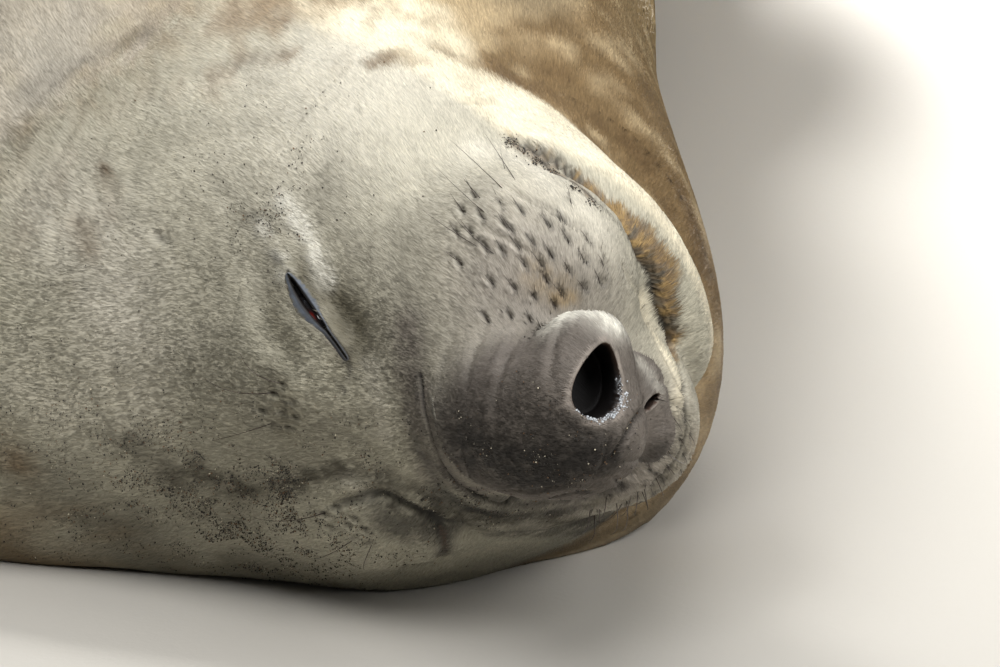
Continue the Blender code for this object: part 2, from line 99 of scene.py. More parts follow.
# The line the rays start from, head to tail, and the middle of the nose where the fan begins.
SPINE = np.array((
    (0.0310, 0.0810, 0.1390),
    (-0.0420, 0.1750, 0.1280),
    (-0.1000, 0.3600, 0.1850),
    (-0.1450, 0.6600, 0.2500),
    (-0.1600, 1.1500, 0.2700),
    (-0.1500, 1.6500, 0.2500),
    (-0.1300, 2.2000, 0.2000),
    (-0.1050, 2.6500, 0.1400),
    (-0.0850, 3.0000, 0.0900),
))
NOSE_MIDDLE = np.array((95.0, 0.0, -12.0))
LONGEST_RAY = 0.62
SKIN_DEPTH = -0.0005
SKIN_OFF_FLOOR = 0.0008

# The skin's rings: how many points round the head, neck and body, the surface length at which each begins,
# the space between rings on the face and how it grows, and how much closer the points lie on the left side.
AROUND = (280, 140, 70)
BLOCK_ENDS = (0.330, 0.800)
FACE_SPACE, FACE_LENGTH, SPACE_GROWTH = 0.0010, 0.205, 0.030
WIDEST_SPACE = 0.040
LEFT_CLOSER = 0.5

# The camera's view of the photo: its aim, its distance, its directions and the real size of a pixel.
AIM = np.array((0.1018, -0.0040, 0.1777))
CAMERA_DISTANCE = 4.5
CAMERA_BACK = np.array((0.0, -0.9511, 0.3090))
CAMERA_UP = np.array((0.0, 0.3090, 0.9511))
CAMERA_RIGHT = np.array((1.0, 0.0, 0.0))
PHOTO_WIDE, PHOTO_HIGH = 1000, 667
PIXEL = 0.00055
SENSOR = 36.0

# Soft lights, as large as windows: place from the camera's aim, the target from there, the disc's width in
# metres, power in watts and spread in degrees. Then the strength of the overcast sky.
LIGHTS = (
    ("window_above", (-0.2, -1.6, 2.6), (0.0, 0.0, 0.0), 2.0, 76.0, 180),
    ("window_right", (1.9, -1.6, 1.8), (0.0, 0.0, 0.0), 1.8, 64.0, 180),
    ("window_behind", (0.0, 1.8, 2.5), (0.0, 0.0, 0.0), 2.4, 18.0, 180),
    ("window_over_trunk", (-1.3, 2.2, 2.6), (0.0, 2.1, 0.0), 1.8, 130.0, 66),
)
SKY_STRENGTH = 0.07

# Creases seen in the photo, as places in its pixels, each with its depth, half width and the swell beside
# it in mm. A swell above zero lies on the side to the right of the line as it runs.
CREASES = (
    (((420, 372), (423, 403), (430, 433), (441, 461), (455, 481), (477, 495), (510, 502), (555, 498),
      (590, 488)),
     8.0, 1.8, 0.0, False),
    (((437, 385), (441, 418), (452, 446), (470, 470), (500, 484), (540, 486), (580, 478)),
     -3.4, 7.0, 0.0, False),
    (((404, 376), (409, 420), (424, 462), (446, 494), (480, 514), (520, 518)), 1.8, 8.0, 0.0, False),
    (((462, 448), (468, 466), (485, 483), (522, 487), (563, 483), (586, 480)), 3.2, 1.9, 0.0, False),
    (((330, 508), (375, 494), (405, 504), (434, 518), (470, 528), (520, 532)), 3.6, 3.4, -1.6, False),
    (((430, 508), (438, 530), (444, 560)), 2.6, 5.0, 1.5, False),
    (((566, 322), (556, 340), (551, 366), (549, 390)), 1.3, 3.2, 0.5, False),
    (((531, 322), (514, 346), (502, 374), (496, 405), (499, 440)), 1.3, 3.2, 0.6, False),
    (((489, 322), (477, 346), (469, 372), (467, 402)), 1.1, 3.2, 0.5, False),
    (((456, 330), (446, 352), (441, 376)), 0.8, 3.4, 0.4, False),
    (((642, 404), (636, 419), (624, 440), (613, 457), (605, 471)), 3.6, 2.3, 1.0, False),
    (((611, 432), (606, 452), (600, 470), (590, 482)), 2.2, 1.8, 0.5, False),
    (((612, 475), (632, 472), (650, 467)), 2.6, 1.8, 0.8, False),
    (((616, 462), (634, 460), (652, 456)), 1.2, 1.6, 0.4, False),
    (((634, 346), (650, 364), (663, 383), (673, 401), (678, 425), (675, 452)), 1.0, 2.2, 0.0, False),
    (((446, 101), (465, 103), (495, 106), (521, 109), (552, 121)), 2.4, 3.0, 1.2, False),
    (((498, 184), (513, 192), (530, 201), (543, 207), (556, 214), (571, 225), (584, 232), (591, 245)),
     2.0, 1.5, 0.4, True),
    (((478, 226), (496, 236), (512, 243), (530, 254), (546, 268)), 1.2, 1.6, 0.3, True),
    (((600, 246), (608, 262), (612, 280), (610, 300)), 1.9, 1.7, 0.8, True),
    (((618, 262), (630, 284), (640, 306)), 1.7, 2.0, 0.8, True),
    (((0, 205), (70, 140), (160, 90), (270, 54), (380, 40)), 2.0, 10.0, 1.2, False),
    (((0, 120), (80, 66), (180, 20)), 2.0, 11.0, 1.2, False),
    (((40, 262), (110, 196), (190, 150), (290, 122)), 1.4, 10.0, 0.6, False),
)

# Round zones of the face's colour: middle in the head's frame and radius, in mm.
FACE_ZONES = (
    ("cheek_light", (-20, 130, -90), 85), ("pad", (118, 60, -55), 48), ("pad", (118, -60, -50), 48),
)

# Zones of colour, among them painted shade and painted highlights, as strokes through the photo's pixels:
# half width in mm, colour, share, raggedness.
STROKES = (
    # These strokes lay painted shade in the hollows round the eye and a darker tone between eye and nose.
    (((395, 250), (400, 300), (392, 350)), 24.0, "eye_shade", 0.70, 0.2),
    (((322, 196), (344, 236), (362, 276)), 11.0, "eye_shade", 0.55, 0.3),
    (((250, 214), (262, 250), (270, 286)), 8.0, "eye_shade", 0.55, 0.5),
    (((215, 330), (200, 360), (230, 400), (300, 430), (350, 430)), 24.0, "eye_shade", 0.40, 0.2),
    (((410, 330), (412, 380), (416, 430), (436, 480)), 11.0, "nose", 0.75, 0.2),
    (((60, 210), (110, 260), (120, 320)), 36.0, "cheek_light", 0.90, 0.2),
    (((30, 380), (80, 410), (140, 400)), 22.0, "cheek_light", 0.35, 0.3),
    # Painted shade in the hollows on both sides of the open slit.
    (((312, 272), (332, 297), (347, 325), (356, 352)), 12.5, "olive", 0.88, 0.2),
    (((316, 278), (332, 300), (346, 326), (352, 346)), 7.5, "dirt_and_painted_shade", 0.55, 0.3),
    (((272, 296), (276, 326), (292, 352)), 7.0, "olive", 0.45, 0.2),
    (((276, 380), (286, 405), (284, 430)), 9.0, "olive", 0.55, 0.3),
    (((284, 204), (299, 222), (313, 246), (326, 278)), 5.6, "patch", 1.00, 0.5),
    (((262, 226), (274, 244), (284, 262), (286, 274)), 4.2, "patch", 0.80, 0.9),
    (((274, 256), (286, 273)), 1.8, "dark", 0.70, 0.7),
    (((347, 357), (350, 372), (344, 394)), 1.5, "dark", 0.75, 0.9),
    # A painted highlight along the ridge between the eye and the nose.
    (((372, 366), (382, 400), (386, 436)), 7.0, "cheek_light", 0.45, 0.2),
    (((-60, 130), (10, 75), (80, 35), (150, -10)), 40.0, "neck", 0.60, 0.7),
    (((168, 478), (200, 473), (228, 484)), 9.0, "dirt_and_painted_shade", 0.80, 0.8),
    (((238, 494), (275, 489), (310, 478), (342, 472)), 6.0, "dirt_and_painted_shade", 0.90, 0.8),
    (((126, 444), (156, 456)), 8.0, "dirt_and_painted_shade", 0.50, 0.9),
    (((160, 562), (215, 566), (262, 560)), 12.0, "dirt_and_painted_shade", 0.40, 0.9),
    (((345, 470), (380, 476), (412, 488)), 8.0, "dirt_and_painted_shade", 0.65, 0.8),
    # Painted shadow and dirt under the nose.
    (((396, 500), (440, 514), (500, 520), (560, 518), (620, 516)), 12.0, "dirt_and_painted_shade", 0.85, 0.4),
    (((0, 470), (60, 500), (120, 520)), 24.0, "dirt_and_painted_shade", 0.45, 0.6),
    (((350, 482), (364, 494)), 5.0, "cheek_light", 0.45, 0.5),
    # The low nose's darker skin, with painted shade under the nose and along its lower edge.
    (((450, 410), (500, 420), (560, 432)), 24.0, "low_nose_and_painted_shade", 0.50, 0.3),
    (((470, 450), (520, 466), (585, 460)), 18.0, "low_nose_and_painted_shade", 1.00, 0.3),
    (((400, 524), (480, 530), (560, 528), (640, 512)), 16.0, "low_nose_and_painted_shade", 0.70, 0.4),
    (((440, 498), (480, 512), (530, 516), (590, 506)), 9.0, "low_nose_and_painted_shade", 0.75, 0.3),
    (((448, 472), (476, 494), (520, 502), (580, 498), (616, 488)), 9.0, "low_nose_and_painted_shade", 0.80, 0.2),
    (((600, 502), (640, 498), (666, 480), (682, 450), (687, 420)), 9.0, "olive", 0.50, 0.3),
    (((630, 512), (672, 484), (694, 440), (698, 400)), 7.0, "lip_brown", 0.30, 0.3),
    (((424, 392), (432, 430), (446, 466), (476, 490), (520, 496)), 7.0, "nose", 0.80, 0.2),
    # More painted shade low on the nose's right side.
    (((600, 455), (640, 458), (660, 448)), 9.0, "low_nose_and_painted_shade", 0.70, 0.3),
    (((556, 300), (572, 300)), 3.5, "ochre", 0.55, 0.4),
    (((536, 276), (560, 290)), 9.0, "tan", 0.50, 0.5),
    # A painted highlight on the top of the nose beside the nostril.
    (((554, 320), (585, 308), (612, 322)), 9.5, "patch", 0.92, 0.25),
    (((620, 330), (632, 352), (646, 370), (660, 392)), 4.0, "patch", 0.35, 0.2),
    (((480, 150), (520, 160), (560, 190), (600, 228)), 13.0, "cheek_light", 0.75, 0.2),
    (((640, 300), (652, 330), (668, 360), (678, 400), (676, 440)), 6.0, "chin", 0.60, 0.2),
    # Painted shadow along the crease under the nose's overhanging side.
    (((420, 374), (423, 403), (430, 433), (441, 461), (455, 481), (477, 496)), 2.1, "dark", 0.90, 0.1),
    (((477, 496), (510, 502), (560, 497), (590, 490)), 1.8, "dark", 0.85, 0.3),
    # A short painted highlight on the fold's edge beside the crease.
    (((436, 400), (440, 416)), 0.5, "patch", 0.80, 0.0),
    (((107, 170), (106, 176)), 1.6, "neck_dark", 0.90, 0.3),
    (((506, 136), (532, 154), (558, 174), (590, 200)), 3.0, "lip_brown", 0.60, 0.9),
    (((545, 162), (562, 177), (600, 208), (632, 250), (650, 290)), 1.5, "dark", 0.80, 0.9),
)

# The closed mouth, from the left corner round the front of the lips to the right corner.
MOUTH_LINE = (
    (508, 133), (530, 146), (560, 165), (600, 200), (630, 240), (650, 277), (656, 306), (670, 340),
    (682, 372), (687, 402), (686, 440), (674, 464), (645, 490),
)
MOUTH_DEPTH, MOUTH_WIDTH = 5.0, 1.9

# Whisker pits: middle of each slit in the photo's pixels and its length. They slant as the whiskers do.
PITS = (
    (481, 216, 15), (504, 224, 15), (532, 242, 15), (548, 223, 15), (521, 210, 12), (474, 195, 12),
    (501, 205, 12), (568, 239, 14), (550, 254, 15), (569, 271, 12), (589, 241, 14), (584, 260, 14),
    (604, 267, 14), (600, 282, 13), (584, 288, 12), (562, 294, 13), (555, 306, 9), (546, 280, 14),
    (534, 297, 10), (524, 264, 15), (514, 288, 12), (502, 251, 15), (491, 282, 12), (485, 247, 15),
    (511, 230, 12), (462, 210, 12), (456, 232, 14), (459, 262, 14), (486, 318, 14), (510, 315, 10),
    (530, 319, 9), (571, 201, 8), (562, 218, 12), (541, 264, 12), (517, 246, 13), (470, 232, 12),
)
PIT_SLANT = np.array((0.55, 0.83))
PIT_DEPTH, PIT_WIDTH = 2.3, 1.35
BROW_PITS = (
    (282, 385, 8), (273, 394, 8), (292, 402, 7), (262, 411, 9), (282, 412, 8), (295, 417, 7),
    (272, 425, 8), (288, 428, 7),
)
BROW_SLANT = np.array((0.94, -0.34))
EAR_HOLE = (164, 236)
EAR_DEPTH, EAR_RADIUS = 6.0, 3.0

# Nostrils: middle of the opening in the photo's pixels, the way in, the long axis's angle from the photo's
# right in degrees, half sizes along it and across, depth and rim height in mm, and how pear-shaped it is.
NOSTRILS = (
    ((600, 381), (-0.88, -0.26, -0.40), 77.0, 21.0, 13.2, 34.0, 1.4, 0.42),
    ((651, 402), (-0.93, 0.20, -0.30), 32.0, 6.5, 2.8, 10.0, 0.5, 0.0),
)

# Eyes, as the solids have them, and the almond between the lids.
EYE_RADIUS = 0.026
EYE_DEPTH = 0.0035
EYE_SLIT_START = np.array((-5.0, 100.0, 1.0))
EYE_SLIT_END = np.array((44.0, 60.0, 24.0))
EYE_FACING = np.array((0.42, 0.86, 0.30))
SLIT_START, SLIT_END, SLIT_MIDDLE, SLIT_HALF, SLIT_OPEN = -27.0, 34.0, -5.0, 19.0, 1.25
DORSAL_LID, VENTRAL_LID = 3.6, 2.9

# Relief round the eye in mm, along the slit and across it: the pocket that shows the eyeball, the shelf of
# the bare lids, the share of both on the shut right eye, folds as place, half width and depth, and swells
# as middle, half widths and height. The lids' strip rides on the first swells only.
POCKET_DEPTH, SHELF_DEPTH, SHUT_DEPTH = 8.0, 1.2, 0.25
LID_FOLDS = ((4.6, 0.9, 0.8), (7.4, 1.0, 0.7), (10.6, 1.2, 0.6), (-9.5, 1.1, 0.6))
LID_FOLD_REACH = 24.0
LID_SWELLS = ((-4, -1, 25.0, 14.0, 3.2), (18, 13, 18.0, 8.0, -7.0))
EYE_HOLLOWS = ((6, -24, 22.0, 10.0, -4.0), (-36, -14, 13.0, 12.0, -2.5))

# The eyeball's red inner corner, and a dim streak painted on it as a reflection of the sky, as swells are
# given.
INNER_CORNER = ((2.0, -2.4, 2.6, 1.1, 1.0),)
PAINTED_EYE_REFLECTION = ((-10.0, -1.0, 6.5, 0.7, 1.0),)

# The lids' strip cut across: how far out from the slit as a share of its width, and how high in mm.
LID_PROFILE = np.array((
    (1.00, -2.2), (1.00, -0.9), (0.82, -0.1), (0.60, 0.35), (0.40, 0.60), (0.24, 0.55), (0.10, 0.15),
    (0.0, -0.7), (0.02, -2.2), (0.20, -3.8), (0.60, -4.2), (0.90, -3.6), (1.00, -2.2),
))

# Long whiskers in the photo's pixels: root, tip, and how far the middle bows aside in mm. Those before the
# one numbered HANGING_FROM are mirrored, and the rest hang from the lower lip.
HANGING_FROM = 11
WHISKERS = (
    (509, 193, 450, 140, 3.0), (530, 201, 482, 129, 3.0), (519, 210, 500, 146, 2.0),
    (513, 236, 435, 166, 2.0), (488, 253, 420, 208, 1.0), (483, 201, 463, 178, 1.0),
    (463, 264, 446, 251, 0.0), (505, 262, 452, 214, 2.0), (273, 394, 205, 378, 3.0),
    (272, 425, 205, 442, -3.0), (282, 385, 240, 352, 3.0), (607, 498, 595, 517, 1.0),
    (591, 510, 577, 534, 1.0), (595, 515, 587, 540, 1.0), (617, 504, 610, 534, 2.0),
    (627, 502, 619, 531, 2.0), (639, 492, 632, 515, -2.0), (642, 492, 645, 503, 1.0),
    (645, 490, 647, 509, -1.0), (657, 480, 662, 494, 0.0), (668, 454, 684, 460, -0.5),
    (666, 464, 674, 473, 0.0),
)

# Whiskers in the pits and long ones: how far the middle of each stands off the skin and its root's radius,
# in metres. None is mirrored within NOSTRIL_CLEAR of the right nostril.
WHISKER_STAND = (0.0016, 0.009)
WHISKER_THICK = (0.00022, 0.00026)
NOSTRIL_CLEAR = 0.028

# Sand: middle of each zone in the photo's pixels, its radius in mm, and how thick it lies.
GRAIN_ZONES = (
    ((240, 520), 50, 1.0), ((320, 520), 40, 0.9), ((130, 500), 50, 0.45), ((195, 474), 24, 1.6),
    ((290, 484), 20, 1.6), ((272, 240), 17, 1.3), ((285, 175), 40, 0.28), ((150, 200), 60, 0.05),
    ((540, 440), 32, 0.50), ((470, 450), 22, 0.4), ((610, 430), 14, 0.3), ((350, 390), 8, 0.5),
    ((380, 450), 26, 0.5), ((570, 470), 25, 0.4), ((60, 420), 60, 0.10), ((230, 545), 30, 1.2),
    ((145, 452), 20, 0.8), ((420, 500), 25, 0.8), ((500, 510), 25, 0.5), ((512, 139), 4, 6.0),
    ((526, 147), 4, 7.0), ((541, 160), 4, 8.0), ((556, 173), 4, 7.0), ((574, 188), 3.5, 5.0),
    ((592, 203), 3.5, 4.0), ((60, 500), 60, 0.25), ((30, 440), 50, 0.12),
)
GRAINS = 9900

# The crust's line along the left nostril's rim, and how many beads it has.
MUCUS_LINE = ((590, 414), (604, 415), (616, 409), (624, 398), (627, 385))
BEADS = 420

# Flippers and tail, as the solids have them: half width, half thickness and reach along the middle line,
# the share across of each digit, and how far the webs draw back between their ends.
DIGITS = (-0.86, -0.46, -0.04, 0.38, 0.80)
LIMB_KINDS = {
    "fore": ((0.070, 0.080, 0.088, 0.084, 0.060), (0.040, 0.028, 0.020, 0.014, 0.007),
             (1.00, 1.00, 0.97, 0.91, 0.82), DIGITS, 0.03),
    "hind": ((0.045, 0.062, 0.090, 0.122, 0.150), (0.040, 0.030, 0.021, 0.014, 0.007),
             (1.00, 0.93, 0.84, 0.93, 1.00), (-0.92, -0.48, 0.0, 0.48, 0.92), 0.05),
    "tail": ((0.032, 0.027, 0.019, 0.008), (0.026, 0.021, 0.013, 0.005), (1.0,) * 5, (), 0.0),
}
LIMBS = (
    ("foreflipper_left", ((0.035, 0.930, 0.500), (0.095, 1.040, 0.540), (0.140, 1.160, 0.525),
                          (0.165, 1.280, 0.495), (0.178, 1.370, 0.465)), (0.55, 0.45, -0.70), "fore"),
    ("foreflipper_right", ((-0.020, 0.960, 0.062), (0.050, 1.060, 0.044), (0.095, 1.165, 0.030),
                           (0.118, 1.270, 0.020), (0.130, 1.370, 0.012)), (0.90, 0.30, 0.0), "fore"),
    ("hindflipper_left", ((-0.085, 3.020, 0.110), (-0.080, 3.130, 0.120), (-0.075, 3.250, 0.110),
                          (-0.070, 3.370, 0.098), (-0.065, 3.490, 0.088)), (1.0, 0.0, 0.08), "hind"),
    ("hindflipper_right", ((-0.085, 3.020, 0.062), (-0.085, 3.130, 0.050), (-0.085, 3.250, 0.038),
                           (-0.085, 3.370, 0.028), (-0.085, 3.490, 0.016)), (1.0, 0.0, 0.0), "hind"),
    ("tail", ((-0.150, 3.020, 0.100), (-0.178, 3.090, 0.098), (-0.199, 3.150, 0.092),
              (-0.214, 3.200, 0.084)), (1.0, 0.0, 0.0), "tail"),
)
LIMB_RINGS, LIMB_AROUND = 46, 64
CLAW_LENGTH, CLAW_RADIUS, CLAW_SPACE, CLAW_ROOT = 0.026, 0.0042, 0.0030, 0.007
CLAW_BEND = 0.22

# The coat: a tuft's length and width in metres on the face and far behind it, where the fine part has its
# middle, and how many tufts and pieces there are.
HAIR_LENGTH = (0.0042, 0.0190)
HAIR_WIDTH = (0.00042, 0.0017)
FINE_MIDDLE = np.array((0.04, 0.06, 0.18))
COAT_PIECES = 8
COAT_TUFTS = 358000

# A tuft's four faces by its corners (two at the root, the ridge, the tip), how far along it the ridge lies,
# and the factor on each corner's colour: the roots are painted darker as shade among the hairs, the tip a
# little lighter.
WEDGE = np.array(((0, 3, 2), (1, 2, 3), (0, 2, 1), (0, 1, 3)))
RIDGE_AT = 0.42
TUFT_SHADES = (0.80, 0.80, 1.0, 1.10)

# What each column of the coat's fields holds.
PLACE, NORMAL, AHEAD, TINT, FLAT = slice(0, 3), slice(3, 6), slice(6, 9), slice(9, 12), slice(12, 14)
LENGTH, WIDTH, BRISTLE, SHARE, BEND = (slice(k, k + 1) for k in range(14, 19))

# Metres of the hair's map to a turn round the body, and the same for the neck's mottling.
LIE_ROUND, NECK_ROUND = 0.6, 0.9

# How many points are compared with a line at once, and the bits that the noise keeps.
LOT = 4000
LOW_BITS = 0xffffffff

# Colours.
HEX = {
    "face": "#B3AE9B",
    "cheek_light": "#D2CCBC",
    "chin": "#EADFC4",
    "pad": "#B3AAA0",
    "nose": "#686059",
    # Darker skin low on the nose, laid with painted shade under it.
    "low_nose_and_painted_shade": "#2E2A26",
    "olive": "#6B6552",
    "tan": "#A08C6C",
    "rim": "#9A9086",
    "lip_brown": "#6A5234",
    # Dirt, also laid as painted shade under the nose, beside the eye and close to the floor.
    "dirt_and_painted_shade": "#4C4739",
    "ochre": "#A58A5C",
    "eye_shade": "#8C8778",
    "neck": "#7C6647",
    "neck_dark": "#5E4930",
    "mottle": "#BDA884",
    "back": "#8A7350",
    "belly": "#B09A6E",
    "flipper": "#6B5A43",
    "lid": "#575D66",
    "dark": "#1E1B1A",
    # Painted shade, near-black, in the deepest parts of the nostrils and of the eye's pocket.
    "painted_deep_shade": "#120E0D",
    "inner": "#5A483D",
    # A pale patch of hair, also laid as a painted highlight on the nose's top and on a fold's edge.
    "patch": "#E2DED0",
    "eye": "#1A1412",
    "membrane": "#7E1208",
    "whisker": "#2E211A",
    "grain_dark": "#2C2823",
    "grain_brown": "#6B5036",
    "grain_pale": "#B9B09A",
    "claw": "#2A2420",
    "claw_tip": "#6A5A48",
    "mucus": "#B8BCC0",
}


def linear(code):
    """A hex sRGB colour as linear red, green and blue."""
    channels = np.array([int(code[k:k + 2], 16) for k in (1, 3, 5)]) / 255.0
    return np.where(channels <= 0.04045, channels / 12.92, ((channels + 0.055) / 1.055) ** 2.4)


COLOUR = {name: linear(code) for name, code in HEX.items()}


def unit(vectors):
    """Vectors over their own lengths."""
    return vectors / (np.linalg.norm(vectors, axis=-1, keepdims=True) + 1e-12)


def head_to_world(points):
    """Places in mm in the head's frame, as metres in the masses' frame."""
    return EYE_MIDPOINT + (np.asarray(points, float) * MM) @ HEAD_AXES


def world_to_head(points):
    """The other way: metres in the masses' frame, as mm in the head's."""
    return ((points - EYE_MIDPOINT) @ HEAD_AXES.T) / MM


def across_head(points):
    """The like places on the head's other side, by its own middle plane."""
    return head_to_world(world_to_head(points) * np.array((1.0, -1.0, 1.0)))


def head_direction(vector):
    """A direction in the head's frame, as one in the masses' frame."""
    return unit(np.asarray(vector, float) @ HEAD_AXES)


def ellipsoid(points, centre, radii):
    """Distance to an ellipsoid, near enough: k0 (k0 - 1) / k1 of the scaled position and its gradient."""
    scaled = (points - np.array(centre, float)) / np.array(radii, float)
    k0 = np.sqrt(np.einsum("...k,...k", scaled, scaled))
    steep = scaled / np.array(radii, float)
    return k0 * (k0 - 1.0) / (np.sqrt(np.einsum("...k,...k", steep, steep)) + 1e-12)


def soft_min(a, b, blend):
    """The smaller of two distances, less a rounded share where they differ by less than the blend."""
    overlap = np.clip(blend - np.abs(a - b), 0.0, None) / blend
    return np.minimum(a, b) - overlap * overlap * blend * 0.25


def union(points, rows):
    """Distance to several ellipsoids, each joined softly to those before it."""
    total = None
    for centre, radii, blend in rows:
        distance = ellipsoid(points, centre, radii)
        total = distance if total is None else soft_min(total, distance, blend)
    return total


def nape_share(points):
    """1 on the nape's side of the neck, to 0 on the throat's."""
    return ease((NAPE_EDGE - points[..., 0]) / NAPE_SOFT)


def flesh(points):
    """Distance in metres to the animal's surface, below zero inside it."""
    in_head = world_to_head(points)
    head = soft_min(union(in_head, UPPER_HEAD), union(in_head, LOWER_JAW), LIP_BLEND) * MM
    throat, nape = NECK_FOLD_BLEND
    blend = throat + (nape - throat) * nape_share(points)
    return soft_min(head, union(points, BODY), blend)


def outward(points):
    """The way out of the flesh, from differences of its distance along the three axes."""
    step = 0.0008
    slopes = [flesh(points + axis * step) - flesh(points - axis * step) for axis in np.eye(3)]
    return unit(np.stack(slopes, axis=-1))


def cubic(stations, t):
    """The Catmull-Rom curve through the stations, read at t, which counts them from 0."""
    v = np.asarray(stations, float)
    padded = np.concatenate(([2 * v[0] - v[1]], v, [2 * v[-1] - v[-2]]))
    i = np.clip(t.astype(int), 0, len(v) - 2)
    f = (t - i).reshape(t.shape + (1,) * (v.ndim - 1))
    a, b, c, d = padded[i], padded[i + 1], padded[i + 2], padded[i + 3]
    bend, twist = 2 * a - 5 * b + 4 * c - d, 3 * b - a - 3 * c + d
    return 0.5 * (2 * b + (c - a) * f + bend * f ** 2 + twist * f ** 3)


def measured_curve(stations, steps):
    """Points on the curve through the stations, so many steps between each two, and the length to each."""
    count = len(stations) - 1
    curve = cubic(stations, np.linspace(0, count, steps * count + 1))
    return curve, np.concatenate(((0,), np.cumsum(np.linalg.norm(np.diff(curve, axis=0), axis=1))))


def read_curve(curve, run, length):
    """Points at lengths along a curve, by straight lines between its own."""
    return np.stack([np.interp(length, run, curve[:, k]) for k in range(3)], axis=1)


def spine_at(shares):
    """Points and tangents of the smooth curve through the spine's stations, at shares of its length."""
    curve, run = measured_curve(SPINE, 40)
    where = np.asarray(shares) * run[-1]
    step = 0.01
    ahead, behind = np.clip(where + step, 0, run[-1]), np.clip(where - step, 0, run[-1])
    tangent = read_curve(curve, run, ahead) - read_curve(curve, run, behind)
    return read_curve(curve, run, where), unit(tangent)


def ring_frames(shares):
    """Spine points, tangents and two directions across it that don't twist from one step to the next."""
    fine = np.unique(np.concatenate((np.linspace(0, 1, 120), np.asarray(shares))))
    points, tangents = spine_at(fine)
    firsts = [unit(HEAD_LEFT - tangents[0] * (HEAD_LEFT @ tangents[0]))]
    for tangent in tangents[1:]:
        firsts.append(unit(firsts[-1] - tangent * (firsts[-1] @ tangent)))
    pick = np.searchsorted(fine, shares)
    firsts = np.array(firsts)[pick]
    return points[pick], tangents[pick], firsts, np.cross(tangents[pick], firsts)


def cast(origins, directions, grow, steps=40, halvings=13):
    """Where each ray first leaves the flesh, by even steps outwards and then halving, or meets the floor."""
    shape = np.broadcast_shapes(origins.shape, directions.shape)
    origins, directions = np.broadcast_to(origins, shape), np.broadcast_to(directions, shape)
    low, high = np.zeros(shape[:-1]), np.full(shape[:-1], LONGEST_RAY)
    inside = np.ones(shape[:-1], bool)
    for k in range(1, steps + 1):
        reach = LONGEST_RAY * k / steps
        live = np.nonzero(inside)
        if len(live[0]) == 0:
            break
        still = flesh(origins[live] + directions[live] * reach) < grow
        left = tuple(axis[~still] for axis in live)
        high[left] = reach
        inside[left] = False
        low[tuple(axis[still] for axis in live)] = reach
    for _ in range(halvings):
        middle = 0.5 * (low + high)
        within = flesh(origins + directions * middle[..., None]) < grow
        low, high = np.where(within, middle, low), np.where(within, high, middle)
    to_floor = (origins[..., 2] - SKIN_OFF_FLOOR) / np.maximum(-directions[..., 2], 1e-6)
    points = origins + directions * np.minimum(low, to_floor)[..., None]
    points[..., 2] = np.maximum(points[..., 2], SKIN_OFF_FLOOR)
    return points


def ring_points(stations, turns):
    """Rings of skin. Stations 0 to 1 are a fan about the nose that opens to a flat ring, 1 to 2 are flat
    rings along the spine, and 2 to 3 are a fan that closes the tail. Turns are angles round the spine."""
    stations = np.asarray(stations, float)
    before, after = np.clip(1 - stations, 0, 1), np.clip(stations - 2, 0, 1)
    points, tangents, firsts, seconds = ring_frames(np.clip(stations - 1, 0, 1))
    origins = points + (head_to_world(NOSE_MIDDLE) - SPINE[0]) * before[:, None]
    lean = (0.5 * np.pi * (before - after))[:, None, None]
    c, s = np.cos(turns)[:, None], np.sin(turns)[:, None]
    flat = firsts[:, None] * c + seconds[:, None] * s
    directions = flat * np.cos(lean) - tangents[:, None] * np.sin(lean)
    return cast(origins[:, None], directions, SKIN_DEPTH)


def even_stations():
    """Stations whose rings lie evenly on the face and ever wider behind it, and the length to each."""
    fine = np.concatenate((np.linspace(0.004, 1, 300, endpoint=False), 1 + np.linspace(0, 1, 300),
                           2 + np.linspace(0.04, 0.97, 24)))
    probe = ring_points(fine, np.linspace(-2.2, 2.2, 9))
    steps = np.linalg.norm(np.diff(probe, axis=0), axis=-1).mean(axis=1)
    run = np.concatenate(((0,), np.cumsum(steps)))
    space = np.minimum(FACE_SPACE + np.clip(run - FACE_LENGTH, 0, None) * SPACE_GROWTH, WIDEST_SPACE)
    number = np.concatenate(((0,), np.cumsum(np.diff(run) / (0.5 * (space[1:] + space[:-1])))))
    count = int(number[-1])
    picked = np.linspace(0, number[-1], count)
    return np.interp(picked, number, fine), np.interp(picked, number, run)


def turns_of(count):
    """Angles round the body from its right side by way of its left, closer together on the left."""
    even = np.linspace(-np.pi, np.pi, count + 1)
    return even - LEFT_CLOSER * np.sin(even)


def noise(points, size, seed=0):
    """Smooth random values from -1 to 1: those of a lattice's corners, eased between them."""
    q = np.asarray(points) / size + 17.31 * (seed + 1)
    cell = np.floor(q).astype(np.int64)
    f = q - cell
    f = f * f * (3 - 2 * f)
    total = np.zeros(q.shape[:-1])
    for corner in np.ndindex(2, 2, 2):
        # The corner's random value: large odd factors of its place, with the bits stirred three times.
        c = cell + np.array(corner)
        h = c[..., 0] * 374761393 + c[..., 1] * 668265263 + c[..., 2] * 974634777
        h = (h + seed * 1013904223) & LOW_BITS
        h = ((h ^ (h >> 13)) * 1274126177) & LOW_BITS
        h = ((h ^ (h >> 16)) * 2246822519) & LOW_BITS
        weight = np.prod(np.where(np.array(corner) == 1, f, 1 - f), axis=-1)
        total += ((h >> 8) % 65536 / 32768.0 - 1.0) * weight
    return total


def noises(points, *rows):
    """The sum of noises, each with its amount, size and seed."""
    return sum(amount * noise(points, size, seed) for amount, size, seed in rows)


